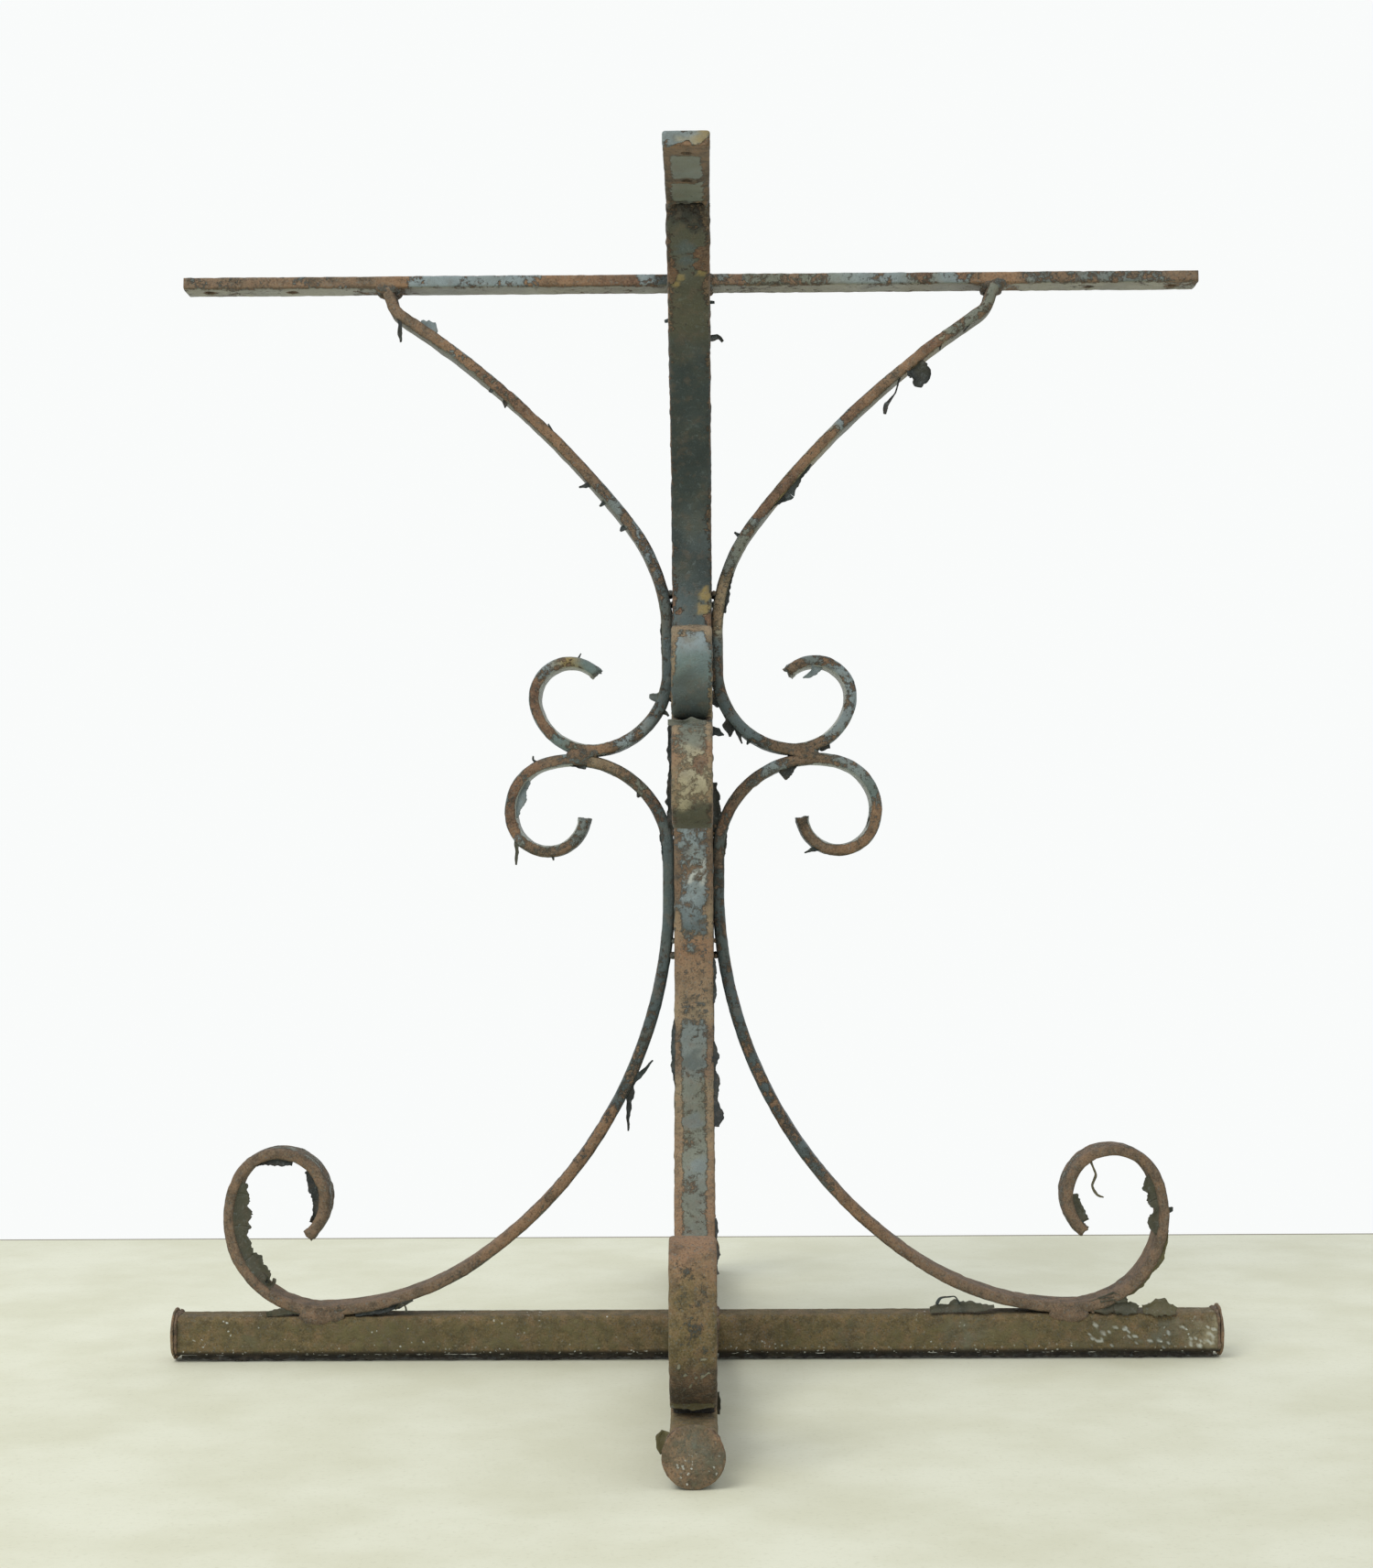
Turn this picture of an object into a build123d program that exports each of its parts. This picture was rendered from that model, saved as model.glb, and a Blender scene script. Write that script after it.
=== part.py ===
"""Wrought steel table base: four arms of forged scrolls round a square post.

Frame: millimetres, +Z up, +X to the right, +Y to the back.
Origin: on the floor, on the centre line of the post.
Every joint is welded, so nothing moves.
"""

from build123d import *
from collections import namedtuple
import math
import os

# ---------------------------------------------------------------- driving dimensions
HEIGHT = 711.0                  # floor to the top face of the flat cross
BAR_WIDTH = 25.4                # one-inch stock: bars, post and tubes share this width

TOP_HALF_LENGTH = 334.0         # centre line to the end of one top bar
TOP_THICKNESS = 7.9             # flat bar of the top cross
TOP_CORNER_RADIUS = 1.6         # worn corners at the ends of the top bars
SCREW_HOLE_RADIUS = 2.7         # screws that hold the table top
OUTER_HOLE_INSET = 15.5         # from the end of a top bar to the outer screw
INNER_HOLE_INSET = 70.0         # from the end of a top bar to the inner screw

BASE_HALF_LENGTH = 343.4        # centre line to the crown of an end cap
TUBE_WALL = 2.0
TUBE_CORNER_RADIUS = 3.2
POST_CORNER_RADIUS = 1.4
CAP_RADIUS = 17.0               # round cap welded over the open end of a base tube
CAP_RIM = 1.8                   # straight edge of the cap
CAP_CROWN = 1.8                 # height of the dome over the rim

SCROLL_THICKNESS = 7.0          # flat bar of the scrolls
CONTACT_LENGTH = 24.0           # straight stretch of a scroll welded to the post

# Each scroll leaves its straight stretch upwards and downwards.
# A leg is a list of (centre-line radius, turn in degrees), a minus sign turning back.
Legs = namedtuple("Legs", "upper_up upper_down lower_up lower_down")
COMMON_LEGS = Legs(
    upper_up=[(120.0, 38.0), (630.0, 18.5), (16.0, -38.0)],
    upper_down=[(52.0, 82.0), (38.0, 83.0), (23.5, 150.0)],
    lower_up=[(63.0, 106.0), (32.0, 95.0), (24.0, 152.0)],
    lower_down=[(290.0, 56.0), (180.0, 34.0), (60.0, 113.0), (30.0, 207.0)],
)
# The front arm was bent to a wider sweep, and its end curls are smaller.
FRONT_LEGS = Legs(
    upper_up=[(110.0, 42.0), (620.0, 19.5), (16.0, -42.0)],
    upper_down=[(52.0, 82.0), (35.5, 83.0), (22.0, 150.0)],
    lower_up=COMMON_LEGS.lower_up,
    lower_down=[(300.0, 56.0), (234.0, 34.0), (52.0, 113.0), (26.0, 207.0)],
)
ARM_LEGS = {
    "right": COMMON_LEGS,
    "back": COMMON_LEGS,
    "left": COMMON_LEGS,
    "front": FRONT_LEGS,
}

NOTCH_BEAD_RADIUS = 4.0         # weld in the notch where a scroll leaves the post
NOTCH_BEAD_GAP = 3.2            # width of the notch at that weld
PAIR_BEAD_RADIUS = 4.6          # weld between the upper and the lower scroll
PAIR_BEAD_OFFSET = 11.0         # from the touching line to each of those welds
END_BEAD_RADIUS = 7.5           # weld round the top end of an upper scroll
FILLET_LEG = 5.0                # fillet welds in the square corners
GROOVE_BEAD_RADIUS = 2.4        # weld along the edge of a base tube under a scroll
GROOVE_BEAD_LENGTH = 40.0
GROOVE_BEAD_RISE = 0.3          # middle of that weld outside the side of the tube
GROOVE_BEAD_DROP = 1.0          # and below the top of the tube
CAP_BEAD_LEG = 2.4              # weld round a base tube behind its cap
CAP_BEAD_INSET = 0.1            # how far that weld stays inside the rim of the cap

# ---------------------------------------------------------------- derived sizes
HALF = BAR_WIDTH / 2
TOP_UNDERSIDE = HEIGHT - TOP_THICKNESS
TUBE_CENTRE = CAP_RADIUS
TUBE_TOP = TUBE_CENTRE + HALF
TUBE_HALF_LENGTH = BASE_HALF_LENGTH - CAP_RIM - CAP_CROWN
SCROLL_LINE = HALF + SCROLL_THICKNESS / 2       # centre line of a scroll against the post
HALF_CONTACT = CONTACT_LENGTH / 2

ARMS = {"right": 0, "back": 90, "left": 180, "front": 270}      # turn about the post


# ---------------------------------------------------------------- scroll geometry
def follow(leg):
    """Stations (x, rise, heading) along a leg that starts at (0, 0) heading straight up.

    Each arc gives its start, its middle and its end. Headings are in radians from the
    upward direction, growing as the leg turns away from the post.
    """
    x, rise, heading = 0.0, 0.0, 0.0
    arcs = []
    for radius, degrees in leg:
        turn = math.radians(degrees)
        side = math.copysign(1.0, turn)
        centre_x = x + side * radius * math.cos(heading)
        centre_rise = rise - side * radius * math.sin(heading)
        stations = []
        for part in (0.0, 0.5, 1.0):
            angle = heading + part * turn
            stations.append((
                centre_x - side * radius * math.cos(angle),
                centre_rise + side * radius * math.sin(angle),
                angle,
            ))
        arcs.append({"centre": (centre_x, centre_rise), "radius": radius, "stations": stations})
        x, rise, heading = stations[-1]
    return arcs


def level_arc(leg):
    """The arc on which a leg first runs level, as its curl turns over."""
    for arc in follow(leg):
        if arc["stations"][-1][2] >= math.pi / 2 - 1e-9:
            return arc
    raise ValueError("this leg never runs level")


def reach(leg):
    """How far a leg rises before its curl turns over."""
    arc = level_arc(leg)
    return arc["centre"][1] + arc["radius"]


def lower_middle(legs):
    """Height of the middle of a lower scroll's straight stretch; it rests on the base tube."""
    return TUBE_TOP + SCROLL_THICKNESS / 2 + reach(legs.lower_down) + HALF_CONTACT


def upper_middle(legs):
    """The same for an upper scroll; its curl rests on the lower scroll's curl."""
    below = level_arc(legs.lower_up)
    above = level_arc(legs.upper_down)
    apart = below["radius"] + above["radius"] + SCROLL_THICKNESS
    across = above["centre"][0] - below["centre"][0]
    rise = math.sqrt(apart ** 2 - across ** 2)
    below_height = lower_middle(legs) + HALF_CONTACT + below["centre"][1]
    return below_height + rise + above["centre"][1] + HALF_CONTACT


def offset_point(station, base, sign, side):
    """A point half a thickness off a station; side +1 is away from the post."""
    x, rise, heading = station
    shift = side * SCROLL_THICKNESS / 2
    return Vector(
        SCROLL_LINE + x + shift * math.cos(heading),
        0,
        base + sign * (rise - shift * math.sin(heading)),
    )


def leg_edges(leg, base, sign, side, run_out):
    """Edges of one long side of a leg, from the straight stretch to the tip."""
    edges = []
    arcs = follow(leg)
    for arc in arcs:
        start, middle, end = (offset_point(s, base, sign, side) for s in arc["stations"])
        edges.append(ThreePointArc(start, middle, end))
    tip = edges[-1] @ 1
    if run_out:
        heading = arcs[-1]["stations"][-1][2]
        beyond = tip + Vector(math.sin(heading), 0, sign * math.cos(heading)) * run_out
        edges.append(Line(tip, beyond))
        tip = beyond
    return edges, tip


def scroll(middle, up_leg, down_leg, run_out=0.0):
    """One scroll of the right-hand arm, from its two legs.

    run_out lengthens the tip of the upward leg in a straight line.
    """
    tips = []
    outline = []
    for side in (1, -1):
        up, up_tip = leg_edges(up_leg, middle + HALF_CONTACT, 1, side, run_out)
        down, down_tip = leg_edges(down_leg, middle - HALF_CONTACT, -1, side, 0.0)
        outline += up + [Line(down[0] @ 0, up[0] @ 0)] + down
        tips.append((up_tip, down_tip))
    outline.append(Line(tips[0][0], tips[1][0]))
    outline.append(Line(tips[0][1], tips[1][1]))
    face = make_face(outline)
    return extrude(face, amount=HALF, dir=(0, 1, 0), both=True)


def rod(radius, length, position, axis):
    """A round bar centred on position; welds are cut from these."""
    plane = Plane(origin=position, z_dir=axis)
    return plane * Cylinder(radius, length)


def box_between(low, high):
    """A box given by two opposite corners."""
    size = [high[i] - low[i] for i in range(3)]
    middle = [(high[i] + low[i]) / 2 for i in range(3)]
    return Pos(*middle) * Box(*size)


# ---------------------------------------------------------------- stock
def square_bar(length, corner_radius):
    """A solid square bar along Z, standing on Z = 0."""
    return extrude(RectangleRounded(BAR_WIDTH, BAR_WIDTH, corner_radius), amount=length)


def square_tube(length, corner_radius):
    """A hollow square tube along Z, standing on Z = 0."""
    inner = BAR_WIDTH - 2 * TUBE_WALL
    inner_radius = max(corner_radius - TUBE_WALL, 0.4)
    hollow = extrude(RectangleRounded(inner, inner, inner_radius), amount=length)
    return square_bar(length, corner_radius) - hollow


def lay_down(shape, start):
    """Turn a shape that stands on Z = 0 so that it runs along +X from start."""
    return Pos(*start) * Rot(0, 90, 0) * shape


def top_bar(start_x, end_x):
    """A flat bar of the top cross along +X, with softened corners at its free ends.

    An end that starts at the centre is welded, and keeps its square corners.
    """
    bar = box_between((start_x, -HALF, TOP_UNDERSIDE), (end_x, HALF, HEIGHT))
    corners = bar.edges().filter_by(Axis.Z).sort_by(Axis.X)
    free = corners if start_x < 0 else corners[-2:]
    return fillet(free, TOP_CORNER_RADIUS)


def screw_holes(angle):
    """The two screw holes near the end of one top bar."""
    holes = []
    for inset in (OUTER_HOLE_INSET, INNER_HOLE_INSET):
        middle = (TOP_HALF_LENGTH - inset, 0, HEIGHT - TOP_THICKNESS / 2)
        holes.append(rod(SCREW_HOLE_RADIUS, 2 * TOP_THICKNESS, middle, (0, 0, 1)))
    return [Rot(0, 0, angle) * hole for hole in holes]


def end_cap():
    """The right-hand cap: a short rim under a shallow dome."""
    dome_radius = (CAP_RADIUS ** 2 + CAP_CROWN ** 2) / (2 * CAP_CROWN)
    half_angle = math.asin(CAP_RADIUS / dome_radius) / 2
    foot = (TUBE_HALF_LENGTH, 0, TUBE_CENTRE)
    back_edge = (TUBE_HALF_LENGTH, 0, TUBE_CENTRE + CAP_RADIUS)
    front_edge = (TUBE_HALF_LENGTH + CAP_RIM, 0, TUBE_CENTRE + CAP_RADIUS)
    halfway = (
        BASE_HALF_LENGTH - dome_radius * (1 - math.cos(half_angle)),
        0,
        TUBE_CENTRE + dome_radius * math.sin(half_angle),
    )
    crown = (BASE_HALF_LENGTH, 0, TUBE_CENTRE)
    outline = [
        Line(foot, back_edge),
        Line(back_edge, front_edge),
        ThreePointArc(front_edge, halfway, crown),
        Line(crown, foot),
    ]
    return revolve(make_face(outline), Axis((0, 0, TUBE_CENTRE), (1, 0, 0)))


# ---------------------------------------------------------------- bars, tubes and scrolls
def make_top_bars():
    cross = top_bar(-TOP_HALF_LENGTH, TOP_HALF_LENGTH)
    arm = top_bar(HALF, TOP_HALF_LENGTH)
    return {
        "top_bar_cross": cross - screw_holes(ARMS["left"]) - screw_holes(ARMS["right"]),
        "top_bar_front": Rot(0, 0, ARMS["front"]) * arm - screw_holes(ARMS["front"]),
        "top_bar_back": Rot(0, 0, ARMS["back"]) * arm - screw_holes(ARMS["back"]),
    }


def make_base_tubes():
    long_tube = square_tube(2 * TUBE_HALF_LENGTH, TUBE_CORNER_RADIUS)
    short_tube = square_tube(TUBE_HALF_LENGTH - HALF, TUBE_CORNER_RADIUS)
    arm = lay_down(short_tube, (HALF, 0, TUBE_CENTRE))
    return {
        "base_tube_cross": lay_down(long_tube, (-TUBE_HALF_LENGTH, 0, TUBE_CENTRE)),
        "base_tube_front": Rot(0, 0, ARMS["front"]) * arm,
        "base_tube_back": Rot(0, 0, ARMS["back"]) * arm,
    }


def make_post():
    return Pos(0, 0, TUBE_TOP) * square_tube(TOP_UNDERSIDE - TUBE_TOP, POST_CORNER_RADIUS)


def make_upper_scroll(legs):
    """An upper scroll laid along +X, its top end cut level under the top bar."""
    run_out = 2 * SCROLL_THICKNESS
    above = box_between(
        (0, -BAR_WIDTH, TOP_UNDERSIDE),
        (TOP_HALF_LENGTH, BAR_WIDTH, HEIGHT + BAR_WIDTH))
    return scroll(upper_middle(legs), legs.upper_up, legs.upper_down, run_out) - above


def make_lower_scroll(legs):
    """A lower scroll laid along +X, resting on the base tube."""
    return scroll(lower_middle(legs), legs.lower_up, legs.lower_down)


# ---------------------------------------------------------------- welds
def notch_beads(middle, up_leg, down_leg, cutters):
    """Beads in the two notches where a scroll leaves the post, above and below."""
    beads = []
    for leg, sign in ((up_leg, 1), (down_leg, -1)):
        face_radius = leg[0][0] + SCROLL_THICKNESS / 2
        angle = math.acos(1 - NOTCH_BEAD_GAP / face_radius)
        height = middle + sign * (HALF_CONTACT + face_radius * math.sin(angle))
        at = (HALF + NOTCH_BEAD_GAP / 2, 0, height)
        beads.append(rod(NOTCH_BEAD_RADIUS, BAR_WIDTH, at, (0, 1, 0)) - cutters)
    return beads


def pair_beads(legs, cutters):
    """Beads on both sides of the line where the upper curl touches the lower curl."""
    below = level_arc(legs.lower_up)
    above = level_arc(legs.upper_down)
    low_height = lower_middle(legs) + HALF_CONTACT + below["centre"][1]
    high_height = upper_middle(legs) - HALF_CONTACT - above["centre"][1]
    low = Vector(SCROLL_LINE + below["centre"][0], 0, low_height)
    high = Vector(SCROLL_LINE + above["centre"][0], 0, high_height)
    up = (high - low).normalized()
    along = Vector(up.Z, 0, -up.X)
    touch = low + up * (below["radius"] + SCROLL_THICKNESS / 2)
    return [
        rod(PAIR_BEAD_RADIUS, BAR_WIDTH, touch + along * shift, (0, 1, 0)) - cutters
        for shift in (-PAIR_BEAD_OFFSET, PAIR_BEAD_OFFSET)
    ]


def end_beads(legs, cutters):
    """Beads in front of and behind the top end of an upper scroll, under the top bar."""
    x, rise, heading = follow(legs.upper_up)[-1]["stations"][-1]
    straight = (TOP_UNDERSIDE - upper_middle(legs) - HALF_CONTACT - rise) / math.cos(heading)
    at = (SCROLL_LINE + x + straight * math.sin(heading), 0, TOP_UNDERSIDE)
    return [rod(END_BEAD_RADIUS, BAR_WIDTH, at, (0, 1, 0)) - cutters]


def groove_beads(legs, cutters):
    """Eight-sided beads along both edges of a base tube, under the bottom of a lower scroll."""
    bottom = SCROLL_LINE + level_arc(legs.lower_down)["centre"][0]
    section = RegularPolygon(GROOVE_BEAD_RADIUS, 8)
    beads = []
    for side in (-1, 1):
        middle = (bottom, side * (HALF + GROOVE_BEAD_RISE), TUBE_TOP - GROOVE_BEAD_DROP)
        plane = Plane(origin=middle, z_dir=(1, 0, 0))
        bead = extrude(plane * section, amount=GROOVE_BEAD_LENGTH / 2, both=True)
        beads.append(bead - cutters)
    return beads


def cap_bead():
    """The bead round the right-hand end of a base tube, thickest against its cap."""
    side = BAR_WIDTH + 2 * CAP_BEAD_LEG
    skirt = extrude(
        RectangleRounded(side, side, TUBE_CORNER_RADIUS + CAP_BEAD_LEG),
        amount=CAP_BEAD_LEG, taper=42)
    collar = Cylinder(CAP_RADIUS - CAP_BEAD_INSET, 4 * CAP_BEAD_LEG)
    ring = (skirt & collar) - square_bar(CAP_BEAD_LEG, TUBE_CORNER_RADIUS)
    return Pos(TUBE_HALF_LENGTH, 0, TUBE_CENTRE) * Rot(0, -90, 0) * ring


def solids_of(shapes):
    """Every solid in a list of shapes."""
    return [solid for shape in shapes for solid in shape.solids()]


def on_every_arm(shapes):
    """The solids of the right-hand arm, repeated on all four arms."""
    found = solids_of(shapes)
    return [Rot(0, 0, angle) * solid for angle in ARMS.values() for solid in found]


def crossed(shape):
    """A shape that runs along X, and the same along Y."""
    return [shape, Rot(0, 0, 90) * shape]


POST_BAR = Pos(0, 0, TUBE_TOP) * square_bar(TOP_UNDERSIDE - TUBE_TOP, POST_CORNER_RADIUS)
TOP_BARS = crossed(
    box_between((-TOP_HALF_LENGTH, -HALF, TOP_UNDERSIDE), (TOP_HALF_LENGTH, HALF, HEIGHT)))
BASE_BARS = crossed(
    lay_down(
        square_bar(2 * TUBE_HALF_LENGTH, TUBE_CORNER_RADIUS),
        (-TUBE_HALF_LENGTH, 0, TUBE_CENTRE)))


def make_scroll_welds(legs):
    """Weld metal of the two scrolls of one arm, laid along +X."""
    upper = make_upper_scroll(legs)
    lower = make_lower_scroll(legs)
    upper_notches = notch_beads(
        upper_middle(legs), legs.upper_up, legs.upper_down, [upper, POST_BAR])
    lower_notches = notch_beads(
        lower_middle(legs), legs.lower_up, legs.lower_down, [lower, POST_BAR])
    return {
        "upper_scroll_end_welds": end_beads(legs, [upper, *TOP_BARS]),
        "upper_scroll_post_welds": upper_notches,
        "scroll_pair_welds": pair_beads(legs, [upper, lower]),
        "lower_scroll_post_welds": lower_notches,
        "lower_scroll_foot_welds": groove_beads(legs, [lower, BASE_BARS[0]]),
    }


def make_frame_welds():
    """Weld metal between the post, the top bars, the base tubes and the end caps."""
    flat_length = BAR_WIDTH - 2 * TUBE_CORNER_RADIUS
    foot = rod(FILLET_LEG, flat_length, (HALF, 0, TUBE_TOP), (0, 1, 0)) - BASE_BARS - POST_BAR
    base_corner = rod(FILLET_LEG, flat_length, (HALF, HALF, TUBE_CENTRE), (0, 0, 1)) - BASE_BARS
    top_middle = HEIGHT - TOP_THICKNESS / 2
    top_corner = rod(FILLET_LEG, TOP_THICKNESS, (HALF, HALF, top_middle), (0, 0, 1)) - TOP_BARS
    head = rod(FILLET_LEG, BAR_WIDTH, (HALF, 0, TOP_UNDERSIDE), (0, 1, 0)) - TOP_BARS - POST_BAR
    return {
        "top_joint_welds": on_every_arm([top_corner, head]),
        "post_foot_welds": on_every_arm([foot]),
        "base_joint_welds": on_every_arm([base_corner]),
        "end_cap_welds": on_every_arm([cap_bead()]),
    }


def make_welds():
    """Weld metal, one group for each kind of joint."""
    groups = make_frame_welds()
    for arm, angle in ARMS.items():
        for name, beads in make_scroll_welds(ARM_LEGS[arm]).items():
            turned = [Rot(0, 0, angle) * bead for bead in solids_of(beads)]
            groups.setdefault(name, []).extend(turned)
    return groups


# ---------------------------------------------------------------- the whole table base
def make_nodes():
    cap = end_cap()
    nodes = {"center_post": make_post()}
    nodes.update(make_top_bars())
    nodes.update(make_base_tubes())
    for arm, angle in ARMS.items():
        turn = Rot(0, 0, angle)
        nodes[f"upper_scroll_{arm}"] = turn * make_upper_scroll(ARM_LEGS[arm])
        nodes[f"lower_scroll_{arm}"] = turn * make_lower_scroll(ARM_LEGS[arm])
        nodes[f"end_cap_{arm}"] = turn * cap
    for name, beads in make_welds().items():
        nodes[name] = Compound(children=beads)
    return nodes


os.makedirs("parts", exist_ok=True)
for name, shape in make_nodes().items():
    export_step(shape, f"parts/{name}.step")
for name, legs in (("common", COMMON_LEGS), ("front", FRONT_LEGS)):
    print(f"{name} scrolls: middles at {upper_middle(legs):.1f} and {lower_middle(legs):.1f}")
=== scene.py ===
import math
import random
from collections import namedtuple

import bmesh
import bpy
from mathutils import Matrix, Vector, noise


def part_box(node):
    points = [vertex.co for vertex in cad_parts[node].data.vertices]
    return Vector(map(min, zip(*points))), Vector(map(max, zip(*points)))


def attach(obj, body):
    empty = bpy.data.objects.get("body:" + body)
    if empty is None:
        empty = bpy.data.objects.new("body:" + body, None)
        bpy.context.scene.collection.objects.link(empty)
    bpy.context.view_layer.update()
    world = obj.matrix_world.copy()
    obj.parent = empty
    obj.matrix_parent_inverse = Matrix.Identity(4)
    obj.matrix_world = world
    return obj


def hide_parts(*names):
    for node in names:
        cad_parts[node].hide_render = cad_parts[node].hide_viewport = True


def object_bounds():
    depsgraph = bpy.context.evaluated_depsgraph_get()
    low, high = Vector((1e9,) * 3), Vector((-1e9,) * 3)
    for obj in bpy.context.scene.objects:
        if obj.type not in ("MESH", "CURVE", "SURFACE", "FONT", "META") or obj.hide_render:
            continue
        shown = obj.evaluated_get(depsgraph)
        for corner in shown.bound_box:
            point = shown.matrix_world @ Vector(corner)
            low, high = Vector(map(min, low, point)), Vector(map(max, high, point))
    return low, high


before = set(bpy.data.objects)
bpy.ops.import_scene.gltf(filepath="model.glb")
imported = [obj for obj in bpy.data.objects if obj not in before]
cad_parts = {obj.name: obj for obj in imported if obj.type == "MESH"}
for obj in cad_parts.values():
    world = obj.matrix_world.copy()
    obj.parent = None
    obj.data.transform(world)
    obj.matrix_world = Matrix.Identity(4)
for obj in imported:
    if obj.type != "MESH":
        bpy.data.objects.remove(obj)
CAD_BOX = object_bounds()

# Looks of a welded steel table base: slate paint peeling off brown rust.
# Metres, +Z up, +X to the right, the front arm towards -Y, origin on the floor under the post.

MM = 0.001

# ---------------------------------------------------------------- sizes shared with the CAD frame
POST_LOW, POST_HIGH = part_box("center_post")
HALF = POST_HIGH.x                                  # half the width of every bar
TOP = CAD_BOX[1].z
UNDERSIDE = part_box("top_bar_front")[0].z
TOP_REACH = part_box("top_bar_cross")[1].x
TUBE_LOW, TUBE_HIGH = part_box("base_tube_cross")
TUBE_TOP = TUBE_HIGH.z
TUBE_REACH = TUBE_HIGH.x
THICK = 7 * MM                                      # thickness of the scroll bars
CONTACT = 24 * MM                                   # straight stretch welded to the post
LINE = HALF + THICK / 2                             # centre line of a scroll at the post

# Legs of the scrolls: (centre-line radius in millimetres, turn in degrees), as in the CAD model.
Legs = namedtuple("Legs", "upper_up upper_down lower_up lower_down")
COMMON_LEGS = Legs(
    upper_up=[(120, 38), (630, 18.5), (16, -38)],
    upper_down=[(52, 82), (38, 83), (23.5, 150)],
    lower_up=[(63, 106), (32, 95), (24, 152)],
    lower_down=[(290, 56), (180, 34), (60, 113), (30, 207)],
)
FRONT_LEGS = Legs(
    upper_up=[(110, 42), (620, 19.5), (16, -42)],
    upper_down=[(52, 82), (35.5, 83), (22, 150)],
    lower_up=COMMON_LEGS.lower_up,
    lower_down=[(300, 56), (234, 34), (52, 113), (26, 207)],
)
ARM_LEGS = {"right": COMMON_LEGS, "back": COMMON_LEGS, "left": COMMON_LEGS, "front": FRONT_LEGS}

ARMS = {"right": 0, "back": 90, "left": 180, "front": 270}
ROW = 1.6 * MM                                      # spacing of mesh rows along a bar
SECTION_STEP = 1.5 * MM                             # spacing of points across its flat sides
SHEET = 0.55 * MM                                   # thickness of loose paint
SCREW_RADIUS = 2.7 * MM
FLOOR_FAR = 0.516                                   # where the floor meets the white background
SCROLL_SLOTS = {"upper": "upper_scroll_paint", "lower": "lower_scroll_rust"}


def srgb(red, green, blue):
    """A display colour, 0 to 255, as linear light."""
    def linear(value):
        value /= 255
        return value / 12.92 if value <= 0.04045 else ((value + 0.055) / 1.055) ** 2.4
    return Vector((linear(red), linear(green), linear(blue)))


PAINTS = {
    "slate": srgb(72, 85, 86),
    "deep slate": srgb(50, 61, 61),
    "black slate": srgb(38, 44, 42),
    "blue grey": srgb(126, 139, 141),
    "mid grey": srgb(106, 115, 112),
    "green grey": srgb(110, 114, 101),
    "teal": srgb(98, 116, 113),
    "olive": srgb(100, 95, 68),
    "moss": srgb(80, 80, 64),
    # near black: painted shadow in dark gaps and under things
    "crust": srgb(40, 36, 28),
    "cream": srgb(160, 152, 124),
    "pale": srgb(186, 190, 182),
    "ochre": srgb(150, 130, 78),
    "green brown": srgb(106, 99, 62),
}
RUSTS = {
    "brown": srgb(112, 95, 78),
    "dark": srgb(68, 59, 47),
    "orange": srgb(138, 109, 83),
    "tan": srgb(144, 129, 103),
    "red": srgb(110, 83, 66),
    "olive brown": srgb(109, 96, 60),
}


# ---------------------------------------------------------------- small geometry helpers
def clamp(value, low=0.0, high=1.0):
    return max(low, min(high, value))


def smooth(low, high, value):
    """0 below low, 1 above high, and a smooth ramp between."""
    t = clamp((value - low) / (high - low))
    return t * t * (3 - 2 * t)


def wave(point, wavelength, seed=0.0):
    """Smooth noise from -1 to 1 with about that wavelength."""
    return noise.noise(point / wavelength + Vector((seed, seed * 0.7, -seed)))


def arm_matrix(arm):
    """Turns the right-hand arm into the named arm."""
    return Matrix.Rotation(math.radians(ARMS[arm]), 4, "Z")


def leg_stations(leg):
    """(out, rise, heading) along a leg that starts at (0, 0) straight up, every ROW."""
    out, rise, heading = 0.0, 0.0, 0.0
    stations = []
    for radius_mm, degrees in leg:
        radius = radius_mm * MM
        turn = math.radians(degrees)
        side = math.copysign(1.0, turn)
        centre_out = out + side * radius * math.cos(heading)
        centre_rise = rise - side * radius * math.sin(heading)
        steps = max(2, round(abs(turn) * radius / ROW))
        for i in range(1, steps + 1):
            angle = heading + turn * i / steps
            stations.append((
                centre_out - side * radius * math.cos(angle),
                centre_rise + side * radius * math.sin(angle),
                angle))
        out, rise, heading = stations[-1]
    return stations


def scroll_path(middle, up_leg, down_leg, top=None):
    """Rows (position, tangent, outward normal) of a right-hand scroll, from its upper tip down.

    With top, the upward leg runs on straight to that height.
    """
    rows = []
    up = leg_stations(up_leg)
    start = middle + CONTACT / 2
    for out, rise, heading in reversed(up):
        rows.append((LINE + out, start + rise, -math.sin(heading), -math.cos(heading)))
    if top is not None:
        out, height, step_out, step_up = rows[0]
        steps = max(1, round((top - height) / -step_up / ROW))
        for i in range(1, steps + 1):
            run = (top - height) / -step_up * i / steps
            rows.insert(0, (out - step_out * run, height - step_up * run, step_out, step_up))
    for i in range(int(CONTACT / ROW) + 1):
        rows.append((LINE, start - i * ROW, 0.0, -1.0))
    for out, rise, heading in leg_stations(down_leg):
        rows.append((LINE + out, middle - CONTACT / 2 - rise, math.sin(heading), -math.cos(heading)))
    return [
        (Vector((x, 0, z)), Vector((tx, 0, tz)), Vector((-tz, 0, tx)))
        for x, z, tx, tz in rows
    ]


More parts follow.
